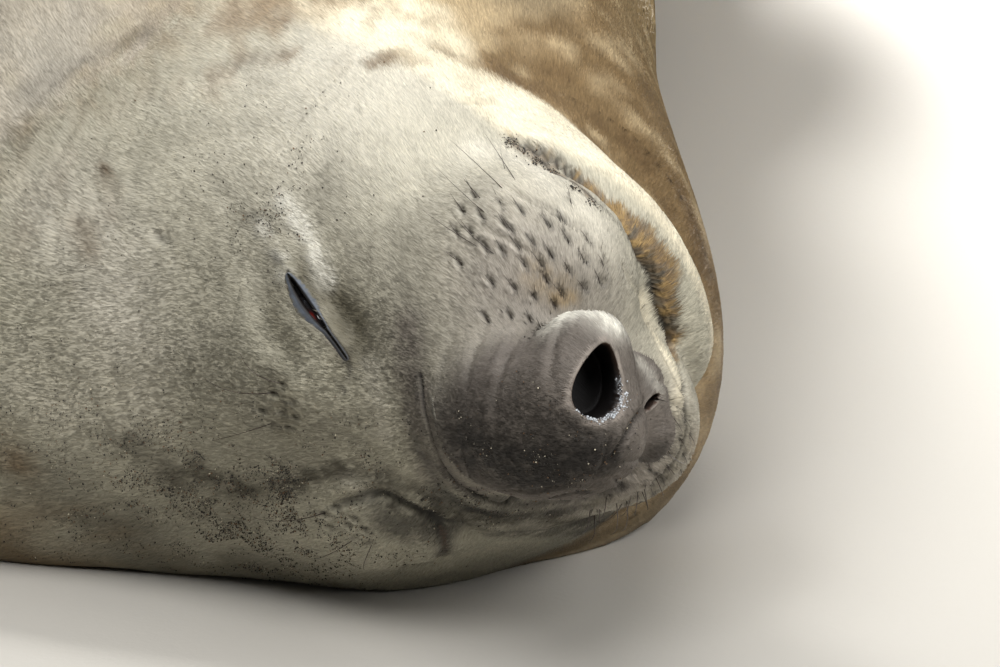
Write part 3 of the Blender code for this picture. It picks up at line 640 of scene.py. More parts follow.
def photo_point(pixels):
    """Where the photo's lines of sight through the pixels meet the animal, by steps of part of the way."""
    px = np.asarray(pixels, float)
    right, up = (px[:, :1] - 0.5 * PHOTO_WIDE) * PIXEL, (0.5 * PHOTO_HIGH - px[:, 1:2]) * PIXEL
    aim = AIM + CAMERA_RIGHT * right + CAMERA_UP * up
    lens = AIM + CAMERA_BACK * CAMERA_DISTANCE
    rays = unit(aim - lens)
    reach = np.full(len(px), CAMERA_DISTANCE - 0.6)
    for _ in range(90):
        reach += 0.7 * np.clip(flesh(lens + rays * reach[:, None]) - SKIN_DEPTH, -0.02, 0.05)
    return lens + rays * reach[:, None]


def mirrored(points):
    """The like places on the head's other side, brought onto its surface."""
    across = across_head(points)
    for _ in range(6):
        across -= outward(across) * (flesh(across) - SKIN_DEPTH)[:, None]
    return across


def smooth_line(points, step=0.0008):
    """A Catmull-Rom curve through the points, read at even steps."""
    curve, run = measured_curve(points, 60)
    return read_curve(curve, run, np.linspace(0, run[-1], max(6, int(run[-1] / step))))


def nearest_on(points, line, reach):
    """Which points lie in the box of a line widened by reach, how far each is from the line's nearest
    point, as a vector, and which one that is. It goes by lots, to save memory."""
    low, high = line.min(axis=0) - reach, line.max(axis=0) + reach
    near = np.nonzero(np.all((points > low) & (points < high), axis=-1))
    p = points[near]
    nearest = np.empty(len(p), int)
    for start in range(0, len(p), LOT):
        lot = p[start:start + LOT]
        nearest[start:start + LOT] = ((lot[:, None] - line) ** 2).sum(axis=-1).argmin(axis=1)
    return near, p - line[nearest], nearest


def beside(points, normals, line, reach):
    """For the points within reach of a line: which they are, their distance to its right as seen from
    outside, across the surface, and how far along it they are from 0 to 1."""
    near, apart, nearest = nearest_on(points, line, reach)
    close = np.linalg.norm(apart, axis=1) < reach
    near, apart, nearest = tuple(axis[close] for axis in near), apart[close], nearest[close]
    way, n = unit(np.gradient(line, axis=0))[nearest], normals[near]
    apart -= n * np.einsum("ik,ik->i", apart, n)[:, None]
    right = np.einsum("ik,ik->i", apart, np.cross(way, n))
    distance = np.linalg.norm(apart, axis=1)
    return near, distance * np.where(right >= 0, 1.0, -1.0), nearest / (len(line) - 1.0)


def pair(a, b):
    """Two arrays that fit one grid, side by side in its last axis."""
    return np.stack(np.broadcast_arrays(a, b), axis=-1)


def taper(share, ends=0.18):
    """1 along a line's middle, easing to 0 at its ends."""
    return np.clip(np.minimum(share, 1 - share) / ends, 0, 1) ** 0.7


def press_line(height, room, points, normals, line, depth, width, swell=0.0, ends=0.18):
    """Presses a groove with the profile of a bell curve into the skin along a line, raises its one side,
    and notes the room that hair has beside it, in metres, so as not to cover it."""
    reach = max(5 * width * MM, 0.008) + 0.004
    near, off, share = beside(points, normals, line, reach)
    along = taper(share, ends)
    if depth > 1.0 and width < 4.0:
        spare = np.interp(depth, (2.0, 6.0), (0.0020, 0.0)) + 0.006 * (1 - along)
        room[near] = np.minimum(room[near], np.abs(off) - 0.35 * width * MM + spare)
    off = off / (width * MM)
    along = along * np.clip(1.4 - np.abs(off) / 5.0, 0, 1)
    groove = -depth * np.exp(-off ** 2)
    raised = abs(swell) * np.exp(-((off * np.sign(swell) - 2.2) / 1.3) ** 2) if swell else 0.0
    height[near] += (groove + raised) * MM * along


def both_sides(line):
    """A line on the head and its like on the other side."""
    return (line, mirrored(line))


def pit_lines(pits, slant):
    """Short lines through the middles of pits, along their slant."""
    rows = np.array(pits, float)
    half = 0.5 * rows[:, 2:3] * slant
    ends = photo_point(np.concatenate((rows[:, :2] - half, rows[:, :2], rows[:, :2] + half)))
    return np.stack(np.split(ends, 3), axis=1)


def eye_frame(side):
    """Middle of the lid slit on the surface, its long direction, its short one and the way the eye faces."""
    mirror = np.array((1.0, side, 1.0))
    along = head_direction((EYE_SLIT_END - EYE_SLIT_START) * mirror)
    facing = head_direction(EYE_FACING * mirror)
    facing = unit(facing - along * (facing @ along))
    middle = head_to_world(0.5 * (EYE_SLIT_START + EYE_SLIT_END) * mirror)
    surface = cast((middle - facing * 0.06)[None], facing[None], 0.0015)[0]
    across = np.cross(facing, along) * side
    return surface, along, across, facing


def ease(x):
    """0 below 0, 1 above 1, and between them the S-shaped curve 3x^2 - 2x^3."""
    x = np.clip(x, 0, 1)
    return x * x * (3 - 2 * x)


def lay_relief(points, normals):
    """How far the skin's features lift or lower each point, and the room hair has beside them, in metres."""
    height, room = np.zeros(points.shape[:-1]), np.full(points.shape[:-1], 0.05)
    in_head = world_to_head(points)
    near_head = ease((260 - np.linalg.norm(in_head - (20, 0, -50), axis=-1)) / 120)
    height += 0.0035 * noise(points, 0.110, 2) * (1 - near_head)
    height += 0.0010 * noise(points, 0.030, 1) * near_head
    height += 0.00040 * noise(points, 0.009, 3) * near_head
    height += 0.00025 * noise(points, 0.0042, 4) * nose_zone(in_head)
    for pixels, depth, width, swell, twin in CREASES:
        line = smooth_line(photo_point(pixels))
        for k, one in enumerate(both_sides(line) if twin else (line,)):
            press_line(height, room, points, normals, one, depth, width, -swell if k else swell)
    mouth = smooth_line(photo_point(MOUTH_LINE))
    press_line(height, room, points, normals, mouth, MOUTH_DEPTH, MOUTH_WIDTH, 0.0, 0.05)
    for lines, depth, width in ((pit_lines(PITS, PIT_SLANT), PIT_DEPTH, PIT_WIDTH),
                                (pit_lines(BROW_PITS, BROW_SLANT), 2.8, 1.7)):
        for line in lines:
            for one in both_sides(smooth_line(line, 0.0005)):
                press_line(height, room, points, normals, one, depth, width, 0.7, 0.3)
    ear = photo_point([EAR_HOLE])
    for place in (ear, mirrored(ear)):
        off = np.linalg.norm(points - place, axis=-1)
        height -= EAR_DEPTH * MM * np.exp(-(off / (EAR_RADIUS * MM)) ** 2)
        room = np.minimum(room, off - 0.6 * EAR_RADIUS * MM)
    return height, room


def open_nostrils(points):
    """Turns pear-shaped patches of the nose into open vases: a floor, a wall down from the opening that
    slopes under the pear's narrow end, and a raised rim. Returns the moved points, how deep in a nostril
    each lies from 0 to 1, and where its bare rim is."""
    inside, bevel = np.zeros(points.shape[:-1]), np.zeros(points.shape[:-1])
    for middle, inwards, angle, long_half, short_half, depth, rim, lopsided in NOSTRILS:
        place = photo_point([middle])
        way = unit(head_direction(inwards) - 0.6 * outward(place)[0])
        place = place[0]
        turn = np.radians(angle)
        up = CAMERA_RIGHT * np.cos(turn) + CAMERA_UP * np.sin(turn)
        up = unit(up - way * (up @ way))
        across = np.cross(way, up)
        off = points - place
        x, y, z = off @ across / (short_half * MM), off @ up / (long_half * MM), off @ way
        lobe = 1.0 - lopsided * np.clip(y, -1, 1)
        radius = np.hypot(x / lobe, y)
        patch = (radius < 1.8) & (np.abs(z) < 0.035)
        # The patch's middle is spread wide over the floor, which leaves the rest for the wall and the rim.
        r, high = radius[patch], np.clip(y[patch], 0, 1)
        wide = np.where(r < 0.38, 0.82 * r / 0.38, 0.82 + 0.18 * np.clip((r - 0.38) / 0.62, 0, 1) ** 0.6)
        scale = (np.where(r < 1.0, wide, r) / np.maximum(r, 1e-6))[:, None] - 1.0
        flat = x[patch][:, None] * across * short_half * MM + y[patch][:, None] * up * long_half * MM
        lip = rim * MM * np.exp(-((r - 1.14) / 0.20) ** 2)
        sink = depth * MM * ease((1.0 - r) / (0.62 + 0.3 * lopsided * high))
        points[patch] += flat * scale + way * (sink - lip)[:, None]
        inside[patch] = np.maximum(inside[patch], np.clip((1.02 - r) / 0.3, 0, 1))
        bareness = 1.0 if lopsided else 0.6
        bevel[patch] = np.maximum(bevel[patch], bareness * np.exp(-((r - 1.10) / 0.10) ** 2))
    return points, inside, bevel


def bells(x, y, rows):
    """The sum of flat bell curves, each with its middle and half widths along x and y, and its height."""
    return sum(high * np.exp(-((x - a) / wide) ** 2 - ((y - b) / tall) ** 2)
               for a, b, wide, tall, high in rows)


def slit_margin(x, side):
    """Where the lids' edges run across the slit at x along it, in mm: its middle line, half its opening,
    and the bare lids' widths above and below. Past the open part the edges lie against each other as far as
    the inner corner. The right eye is shut."""
    open_ = np.sqrt(np.clip(1 - ((x - SLIT_MIDDLE) / SLIT_HALF) ** 2, 0, 1))
    shut = np.clip((x - SLIT_START) * (SLIT_END - x) / 120.0, 0, 1) ** 0.5
    swell = np.exp(-((x + 5.0) / 17.0) ** 2)
    bare = 1.0 if side > 0 else 0.1
    opening = SLIT_OPEN * open_ * (side > 0) + 0.25 * shut
    dorsal, ventral = DORSAL_LID * bare * swell + 1.5, VENTRAL_LID * bare * swell + 1.1
    return -1.2 * swell, opening, dorsal * shut, ventral * shut


def along_slit(x, beyond, soft):
    """1 along the slit and so far beyond its ends, easing to 0 over the soft length, all in mm."""
    return ease((x - SLIT_START + beyond) / soft) * ease((SLIT_END + beyond - x) / soft)


def sink_lids(points, inside):
    """Presses the pocket that shows the eye between its lids, and the folds and hollows round it."""
    for side in (1, -1):
        middle, along, across, facing = eye_frame(side)
        off = points - middle
        x, y, z = off @ along / MM, off @ across / MM, off @ facing / MM
        near = ease((75 - np.abs(x)) / 25) * ease((55 - np.abs(y)) / 25) * (z > -40)
        bow, opening, dorsal, ventral = slit_margin(x, side)
        gap = np.abs(y - bow) - opening
        ends = along_slit(x, 1.5, 3.0)
        slit = ease((1.5 - gap) / 1.5) * ends
        shelf = ease((np.where(y < bow, dorsal, ventral) - 1.0 - gap) / 1.8) * ends
        folds = sum(deep * np.exp(-((y - place) / width) ** 2) for place, width, deep in LID_FOLDS)
        folds = folds * np.exp(-((x - SLIT_MIDDLE) / LID_FOLD_REACH) ** 4)
        rise = bells(x, y, LID_SWELLS + EYE_HOLLOWS)
        pocket = POCKET_DEPTH * (0.35 + 0.65 * ease((SLIT_MIDDLE + SLIT_HALF + 2 - x) / 6.0))
        open_share = 1.0 if side > 0 else SHUT_DEPTH
        lift = rise - folds - (SHELF_DEPTH * shelf + pocket * slit) * open_share
        points = points + facing * (lift * near * MM)[..., None]
        inside = np.maximum(inside, np.clip(0.6 * shelf + slit, 0, 1) * near * open_share)
    return points, inside


def fade(points, place, radius):
    """1 at a place, falling away as a bell curve of the radius."""
    return np.exp(-(np.linalg.norm(points - place, axis=-1) / radius) ** 2)


def near_line(points, line, radius):
    """1 on a line, falling away as a bell curve of the radius."""
    out = np.zeros(points.shape[:-1])
    near, apart, _ = nearest_on(points, line, 3 * radius)
    out[near] = np.exp(-(np.linalg.norm(apart, axis=1) / radius) ** 2)
    return out


def all_over(name, points):
    """One colour at every point."""
    return np.broadcast_to(COLOUR[name], points.shape)


def paint(colour, over, share):
    """Lays a colour, or one of the named ones, over another by a share from 0 to 1 at each point."""
    over = COLOUR[over] if isinstance(over, str) else over
    return colour + (over - colour) * np.clip(share, 0, 1)[..., None]


def nose_zone(in_head):
    """1 on the nose, in front of a plane across the bridge, to 0 behind it."""
    return ease((in_head[..., 0] * 0.844 + in_head[..., 2] * 0.536 - 92) / 20)


def lip_band(points, normals):
    """How brown and bristly the lower lip is beside the mouth, widest below the left corner's front."""
    mouth = smooth_line(photo_point(MOUTH_LINE))
    near, off, share = beside(points, normals, mouth, 0.045)
    wide = np.interp(share, (0.0, 0.14, 0.30, 0.38, 0.50, 0.58, 0.66, 0.75, 1.0),
                     (1.6, 3.0, 6.5, 13.5, 15.0, 9.0, 3.0, 0.6, 0.4)) * MM
    band = np.zeros(points.shape[:-1])
    outer = ease((off + wide + 0.002 + 0.003 * noise(points[near], 0.006, 19)) / 0.004)
    band[near] = outer * ease((0.0012 - off) / 0.0015) * ease((wide - 0.0006) / 0.002)
    return band


def stroke(points, pixels, radius):
    """1 along a stroke through the photo's pixels, fading aside over the radius in mm."""
    return near_line(points, smooth_line(photo_point(pixels), max(0.3 * radius, 0.8) * MM), radius * MM)


def markings(points, height, band, rounds, bevel):
    """The coat's colour at each point, laid on in soft zones from the back forwards. Rounds gives each
    point's length round the neck and along it, in which the neck's mottling is drawn out."""
    in_head = world_to_head(points)
    f, l, d = in_head[..., 0], in_head[..., 1], in_head[..., 2]
    drawn = np.concatenate((rounds, 0.4 * points[..., 2:]), axis=-1)
    blotch = 0.8 * noise(drawn * (0.35, 1, 1), 0.020, 5) + 0.7 * noise(drawn * (0.45, 1, 1), 0.009, 6)
    blotch += 0.35 * noise(drawn * (0.6, 1, 1), 0.004, 16)
    patchy = noise(points * (1, 0.5, 1), 0.16, 7)
    # The body: a patchy back, the mottled neck, and a paler belly.
    body = paint(all_over("neck", points), "back", 0.5 + 0.5 * patchy)
    near_head = ease((1.0 - points[..., 1]) / 0.7)
    body = paint(body, "mottle", 0.9 * ease((blotch - 0.02) / 0.6) * near_head)
    body = paint(body, "neck_dark", 0.55 * ease((-blotch - 0.15) / 0.6))
    body = paint(body, "patch", 0.55 * fade(points, photo_point([(30, 70)])[0], 0.11))
    belly = ease((points[..., 0] + 0.02) / 0.16) * ease((points[..., 1] - 0.2) / 0.3)
    body = paint(body, "belly", 0.6 * belly)
    # The head's colours end at a ragged edge across the neck.
    nape = nape_share(points)
    edge = 0.116 + 0.014 * noise(points, 0.045, 8) + nape * (0.015 + 0.045 * blotch)
    head_share = ease((edge - points[..., 1]) / (0.024 + 0.035 * nape))
    face = all_over("face", points)
    for name, middle, radius in FACE_ZONES:
        face = paint(face, name, 0.9 * fade(in_head, middle, radius))
    face = paint(face, "chin", 0.95 * ease((-d - 118 - 0.10 * f) / 14))
    face = paint(face, "nose", 0.95 * ease((f * 0.844 + d * 0.536 - 66) / 66))
    soiled = ease((noise(points, 0.035, 9) + 0.2) / 0.8) * ease((d - 18) / 30) * ease((60 - l) / 80)
    face = paint(face, "dirt_and_painted_shade", 0.30 * soiled)
    # The lower lip's coarse brown hair, specked with ochre and dark.
    speck = noises(points, (1.0, 0.0022, 12), (0.8, 0.005, 13))
    brown = paint(all_over("lip_brown", points), "ochre", ease((speck + 0.15) / 0.8))
    brown = paint(brown, "dark", 0.7 * ease((-speck - 0.2) / 0.5))
    face = paint(face, brown, band * (0.75 + 0.25 * ease(speck + 0.5)))
    rims = []
    for side in (1, -1):
        place, along, across, _ = eye_frame(side)
        off = points - place
        x, y = off @ along / MM, off @ across / MM
        near = np.linalg.norm(off, axis=-1) < 0.06
        bow, opening, *_ = slit_margin(x, side)
        gap = np.clip(np.abs(y - bow) - opening, 0, None)
        ends = along_slit(x, 3.0, 4.0) * near
        # Painted shade in the hollow round each slit.
        face = paint(face, "eye_shade", 0.75 * np.exp(-(gap / 6.5) ** 2) * ends)
        # Dark lid margins; on the shut right eye the same dark line is painted shade in its fold.
        rims.append(0.8 * np.exp(-(gap / 2.0) ** 2) * ends)
    # The photo's strokes over that, then what has to stay dark on top: rims, lids and pits.
    ragged = noises(points, (1.0, 0.0045, 14), (0.8, 0.0020, 15), (0.7, 0.011, 17))
    for pixels, radius, name, share, rough in STROKES:
        amount = stroke(points, pixels, radius)
        face = paint(face, name, share * np.clip(amount * (1 + rough * 1.3 * ragged), 0, 1))
    face = paint(face, "rim", 0.8 * bevel * ease(0.7 + 0.6 * noise(points, 0.003, 18)))
    face = paint(face, "dark", rims[0] + rims[1])
    # The whisker and brow pits are painted dark as shade in them.
    for line in (*pit_lines(PITS, PIT_SLANT), *pit_lines(BROW_PITS, BROW_SLANT)):
        for one in both_sides(smooth_line(line, 0.001)):
            face = paint(face, "dark", 0.62 * near_line(points, one, 0.0012))
    colour = paint(body, face, head_share)
    # Painted shade and dirt: the head and neck darken close to the floor.
    colour = paint(colour, "dirt_and_painted_shade", 0.40 * ease((0.055 - points[..., 2]) / 0.05) * near_head)
    # Hair is never one even tone, and the deep creases are darkened with dirt and painted shade.
    uneven = noises(points, (0.10, 0.020, 10), (0.08, 0.006, 11), (0.07, 0.0024, 55))
    colour = colour * (1 + uneven)[..., None]
    shade = np.clip((-height - 1.2 * MM) / (1.6 * MM), 0, 1)
    return colour * (1 - 0.70 * shade)[..., None]


def body_map(turn, share):
    """Where a place round and along the body lies on its bake map."""
    return 0.01 + 0.80 * turn, 0.01 + 0.98 * share


def build_skin():
    """The skin's blocks of rings, as dictionaries of arrays whose last column repeats the first."""
    stations, run = even_stations()
    edges = np.searchsorted(run, BLOCK_ENDS)
    bounds = (0, *edges, len(stations) - 1)
    mucus = smooth_line(photo_point(MUCUS_LINE))
    blocks = []
    for count, start, end in zip(AROUND, bounds[:-1], bounds[1:]):
        turns = turns_of(count)
        points = ring_points(stations[start:end + 1], turns[:-1])
        points = np.concatenate((points, points[:, :1]), axis=1)
        normals = outward(points)
        height, room = lay_relief(points, normals)
        pressed = points + normals * height[..., None]
        bare, bevel = np.zeros(height.shape), np.zeros(height.shape)
        if len(blocks) < 2:
            pressed, bare, bevel = open_nostrils(pressed)
            pressed, bare = sink_lids(pressed, bare)
        pressed[..., 2] = np.maximum(pressed[..., 2], SKIN_OFF_FLOOR)
        share = (np.arange(start, end + 1) / (len(stations) - 1.0))[:, None]
        turn = np.linspace(0, 1, count + 1)[None]
        length = run[start:end + 1][:, None]
        flat, lie = pair(*body_map(turn, share)), pair(LIE_ROUND * turn, length)
        band = lip_band(points, normals)
        rounds = pair(NECK_ROUND * turn, length)
        tint = markings(points, height, band, rounds, bevel)
        tint = paint(tint, "inner", bare * 4)
        # Painted shade: the deepest parts of the nostrils and of the eye's pocket go near-black.
        tint = paint(tint, "painted_deep_shade", ease((bare - 0.25) / 0.75))
        wet = near_line(pressed, mucus, 0.0065) * ease(0.35 + noise(pressed, 0.0018, 72))
        tint = paint(tint, "mucus", 0.9 * wet * np.clip(bare * 4, 0, 1))
        blocks.append(dict(points=pressed, out=normals, tint=tint, bare=bare, flat=flat, lie=lie,
                           bristle=band, room=room - 0.004 * bevel, sunk=height, own=np.ones(height.shape)))
    return blocks


def grid_faces(rows, columns, offset=0):
    """Triangles between the points of a grid, and their corners' places in one with a column more."""
    i, j = np.meshgrid(np.arange(rows - 1), np.arange(columns), indexing="ij")
    i, j = i.ravel(), j.ravel()
    corners = ((i, j), (i, j + 1), (i + 1, j + 1), (i + 1, j))
    wide = [a * (columns + 1) + b for a, b in corners]
    closed = [offset + a * columns + b % columns for a, b in corners]
    pick = ((0, 1, 2), (0, 2, 3))
    return (np.concatenate([np.stack([closed[k] for k in row], axis=1) for row in pick]),
            np.concatenate([np.stack([wide[k] for k in row], axis=1) for row in pick]))


def stitch_faces(count, fine_start, coarse_start):
    """Triangles from a ring to one with half its points."""
    half = count // 2
    j = np.arange(half)
    a, b, c = fine_start + 2 * j, fine_start + 2 * j + 1, fine_start + (2 * j + 2) % count
    d, e = coarse_start + j, coarse_start + (j + 1) % half
    return np.concatenate((np.stack((a, b, d), 1), np.stack((b, e, d), 1), np.stack((b, c, e), 1)))


def make_mesh(name, vertices, faces, tint=None, uv=None, lie=None):
    """A mesh of faces that all have one number of corners, with its colours and its maps by corner."""
    mesh = bpy.data.meshes.new(name)
    mesh.vertices.add(len(vertices))
    mesh.vertices.foreach_set("co", (vertices - FLOOR_MIDDLE).astype(np.float32).ravel())
    mesh.loops.add(faces.size)
    mesh.loops.foreach_set("vertex_index", faces.astype(np.int32).ravel())
    mesh.polygons.add(len(faces))
    mesh.polygons.foreach_set("loop_start", np.arange(0, faces.size, faces.shape[1], dtype=np.int32))
    mesh.update(calc_edges=True)
    mesh.validate()
    if tint is not None:
        layer = mesh.color_attributes.new(name="tint", type="FLOAT_COLOR", domain="POINT")
        colours = np.concatenate((tint, np.ones((len(tint), 1))), axis=1)
        layer.data.foreach_set("color", colours.astype(np.float32).ravel())
    for title, values in (("OFBake", uv), ("lie", lie)):
        if values is not None:
            mesh.uv_layers.new(name=title).data.foreach_set("uv", values.astype(np.float32).ravel())
    mesh.shade_smooth()
    return mesh


def add_piece(name, mesh, material, replaces=()):
    """Puts a finished mesh in the scene, on the body, with its material and the finish it takes."""
    made = bpy.data.objects.new(name, mesh)
    bpy.context.scene.collection.objects.link(made)
    mesh.materials.append(material)
    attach(made, "root")
    if replaces:
        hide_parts(*replaces)
    return made


def join_blocks(blocks):
    """One closed mesh from the blocks: grids, the stitches between them, and a fan at each end."""
    points, tints, flats, lies, faces = [], [], [], [], []

    def add_ring_faces(part, turn, block, row):
        """Adds faces that lie on one ring, by the turn of each corner."""
        faces.append(part)
        flats.append(pair(body_map(turn, 0)[0], block["flat"][row, 0, 1]))
        lies.append(pair(LIE_ROUND * turn, block["lie"][row, 0, 1]))

    total = 0
    for block in blocks:
        rows, wide = block["points"].shape[:2]
        block["columns"], block["offset"] = wide - 1, total
        closed, open_places = grid_faces(rows, wide - 1, total)
        faces.append(closed)
        flats.append(block["flat"].reshape(-1, 2)[open_places])
        lies.append(block["lie"].reshape(-1, 2)[open_places])
        points.append(block["points"][:, :-1].reshape(-1, 3))
        tints.append(block["tint"][:, :-1].reshape(-1, 3))
        total += rows * (wide - 1)
        block["end"] = total - (wide - 1)
    for first, second in zip(blocks[:-1], blocks[1:]):
        stitched = stitch_faces(first["columns"], first["end"], second["offset"])
        turn = np.empty(total)
        for block in (first, second):
            n = block["columns"]
            for start in (block["offset"], block["end"]):
                turn[start:start + n] = np.arange(n) / n
        u = turn[stitched]
        u = np.where((u < 0.25) & (u.max(axis=1, keepdims=True) > 0.75), u + 1.0, u)
        add_ring_faces(stitched, u, first, -1)
    for block, row, start, at_nose in ((blocks[0], 0, 0, True), (blocks[-1], -1, blocks[-1]["end"], False)):
        n = block["columns"]
        ring, pole, step = start + np.arange(n), np.full(n, total), np.arange(n)
        total += 1
        points.append(block["points"][row, :-1].mean(axis=0)[None])
        tints.append(block["tint"][row, :-1].mean(axis=0)[None])
        nearby = np.roll(ring, -1)
        fan = np.stack((pole, nearby, ring) if at_nose else (pole, ring, nearby), axis=1)
        turn = np.stack((step + 0.5, step + at_nose, step + (not at_nose)), axis=1) / n
        add_ring_faces(fan, turn, block, row)
    return (np.concatenate(points), np.concatenate(faces), np.concatenate(tints),
            np.concatenate([a.reshape(-1, 2) for a in flats]),
            np.concatenate([a.reshape(-1, 2) for a in lies]))


def add_node(tree, kind, links=(), **settings):
    """Adds a node, sets its properties, or the sockets of that name, and links its inputs."""
    node = tree.nodes.new(kind)
    for key, value in settings.items():
        name = key.replace("_", " ")
        if name in node.inputs:
            node.inputs[name].default_value = value
        else:
            setattr(node, key, value)
    for source, target in links:
        tree.links.new(source, node.inputs[target])
    return node


def new_finish(name, roughness, specular=0.5, coat=0.0):
    """A material, its node tree and its shader, with its gloss set."""
    made = bpy.data.materials.new(name)
    made.use_nodes = True
    shader = made.node_tree.nodes["Principled BSDF"]
    shader.inputs["Roughness"].default_value = roughness
    shader.inputs["Specular IOR Level"].default_value = specular
    shader.inputs["Coat Weight"].default_value = coat
    return made, made.node_tree, shader


def tinted_material(*gloss):
    """A finish whose colours come from the piece's own attribute."""
    made, tree, shader = new_finish(*gloss)
    tint = add_node(tree, "ShaderNodeAttribute", attribute_name="tint")
    tree.links.new(tint.outputs["Color"], shader.inputs["Base Color"])
    return made


def skin_material():
    """Skin under a short coat: fine streaks along the lie of the hair, 0.8 mm wide, break its colour."""
    made, tree, shader = new_finish("short_haired_hide", 0.6, 0.3)
    tint = add_node(tree, "ShaderNodeAttribute", attribute_name="tint")
    lie = add_node(tree, "ShaderNodeUVMap", uv_map="lie")
    place = add_node(tree, "ShaderNodeMapping", [(lie.outputs["UV"], "Vector")], Scale=(1250.0, 160.0, 1.0))
    streak = add_node(tree, "ShaderNodeTexNoise", [(place.outputs["Vector"], "Vector")], Scale=1.0,
                      Detail=2.0)
    tone = add_node(tree, "ShaderNodeMapRange", [(streak.outputs["Fac"], "Value")],
                    From_Min=0.3, From_Max=0.7, To_Min=0.72, To_Max=1.12)
    mixed = add_node(tree, "ShaderNodeVectorMath", [(tint.outputs["Color"], 0), (tone.outputs["Result"], 1)],
                     operation="MULTIPLY")
    tree.links.new(mixed.outputs["Vector"], shader.inputs["Base Color"])
    bump = add_node(tree, "ShaderNodeBump", [(streak.outputs["Fac"], "Height")], Strength=0.5,
                    Distance=0.0006)
    tree.links.new(bump.outputs["Normal"], shader.inputs["Normal"])
    return made


def floor_material():
    """Matt wall paint, one pale colour with the fine grain that a roller leaves."""
    made, tree, shader = new_finish("pale_studio_paint", 0.8, 0.3)
    shader.inputs["Base Color"].default_value = (*linear("#C2BEB6"), 1.0)
    place = add_node(tree, "ShaderNodeTexCoord")
    grain = add_node(tree, "ShaderNodeTexNoise", [(place.outputs["Object"], "Vector")], Scale=250.0)
    bump = add_node(tree, "ShaderNodeBump", [(grain.outputs["Fac"], "Height")], Strength=1.0,
                    Distance=0.0002)
    tree.links.new(bump.outputs["Normal"], shader.inputs["Normal"])
    return made


def fineness(points, normals):
    """1 where the photo shows the skin from near, less on what faces away from it, and 0 along the body."""
    near = ease((0.46 - np.linalg.norm(points - FINE_MIDDLE, axis=-1)) / 0.20)
    toward = unit(AIM + CAMERA_BACK * CAMERA_DISTANCE - points)
    faces_camera = ease((np.einsum("ijk,ijk->ij", toward, normals) + 0.30) / 0.35)
    return near * (0.70 + 0.30 * faces_camera)


def coat_fields(block):
    """Everything a tuft needs of the skin, as one array over the block's grid: place, normal, lie, colour,
    its place on the bake map, length, width, how bristly it is, its share of the tufts, and how the skin
    ahead curves."""
    p = block["points"]
    ahead = unit(np.gradient(p, axis=0))
    round_ = np.gradient(p, axis=1)
    round_[:, 0] = round_[:, -1] = p[:, 1] - p[:, -2]
    normals = unit(np.cross(unit(round_), ahead))
    out = block["out"]
    normals *= np.sign(np.einsum("ijk,ijk->ij", normals, out))[..., None]
    fine = fineness(p, normals)
    length = HAIR_LENGTH[0] + (HAIR_LENGTH[1] - HAIR_LENGTH[0]) * (1 - fine)
    width = HAIR_WIDTH[0] + (HAIR_WIDTH[1] - HAIR_WIDTH[0]) * (1 - fine)
    on_nose = nose_zone(world_to_head(p)) * fine
    # Hair is shorter and broader on the nose, and cut short beside creases so as not to cover them.
    full = length * (1 - 0.25 * on_nose) * (1 + 0.15 * block["bristle"])
    width = width * (1 + 0.2 * on_nose)
    length = np.minimum(full, 0.0010 + 0.85 * np.clip(block["room"], 0, 0.05))
    # Tufts are thickest where they are fine, and none grow on bare skin or where a limb is in the trunk.
    share = (0.5 + 0.5 * fine) * (1 - np.clip(block["bare"] * 3, 0, 1)) * block["own"]
    share = share * (length / full) ** 0.6 * (1 - 0.9 * ease((-block["sunk"] - 0.0014) / 0.002))
    # The skin ahead curves by twice its rise over the square of the way there.
    onward = np.concatenate((p[3:], p[-3:])) - p
    bend = 2 * np.einsum("ijk,ijk->ij", onward, normals) / ((onward ** 2).sum(axis=-1) + 1e-6)
    bend[-3:] = 0.0
    extra = np.stack((length, width, block["bristle"], share, np.clip(bend, -60, 250)), axis=-1)
    return np.concatenate((p, normals, ahead, block["tint"], block["flat"], extra), axis=-1)


def pick_cells(rng, weight, count):
    """So many places in an array, picked at random by its weights."""
    reach = np.cumsum(weight.ravel())
    cell = np.searchsorted(reach, rng.random(count) * reach[-1])
    return np.unravel_index(np.minimum(cell, weight.size - 1), weight.shape)


def cell_area(p):
    """Two sides and the area of each cell of a grid of points."""
    a, b = p[1:, :-1] - p[:-1, :-1], p[:-1, 1:] - p[:-1, :-1]
    return a, b, np.linalg.norm(np.cross(a, b), axis=-1)


def copies(count, corners, faces):
    """The faces of so many copies of a shape, each with its own corners."""
    return (np.arange(count)[:, None, None] * corners + faces).reshape(-1, 3)


def tuft_roots(rng, blocks):
    """The coat's fields at places scattered over the skin by area and hair size, in random order."""
    grids, wishes = [], []
    for block in blocks:
        fields = coat_fields(block)
        middle = 0.5 * (fields[1:, 1:] + fields[:-1, :-1])
        size = (middle[..., LENGTH] * middle[..., WIDTH])[..., 0]
        off_floor = ease((middle[..., 2] - 0.002) / 0.003)
        wishes.append(cell_area(fields[..., PLACE])[2] / size * middle[..., SHARE][..., 0] * off_floor)
        grids.append(fields)
    budget = COAT_TUFTS
    scale = budget / sum(wish.sum() for wish in wishes)
    rows = []
    for fields, wish in zip(grids, wishes):
        count = int(wish.sum() * scale)
        i, j = pick_cells(rng, wish, count)
        s, t = rng.random((2, count, 1))
        rows.append(fields[i, j] * (1 - s) * (1 - t) + fields[i + 1, j] * s * (1 - t)
                    + fields[i, j + 1] * (1 - s) * t + fields[i + 1, j + 1] * s * t)
    root = np.concatenate(rows)
    return root[rng.permutation(len(root))]


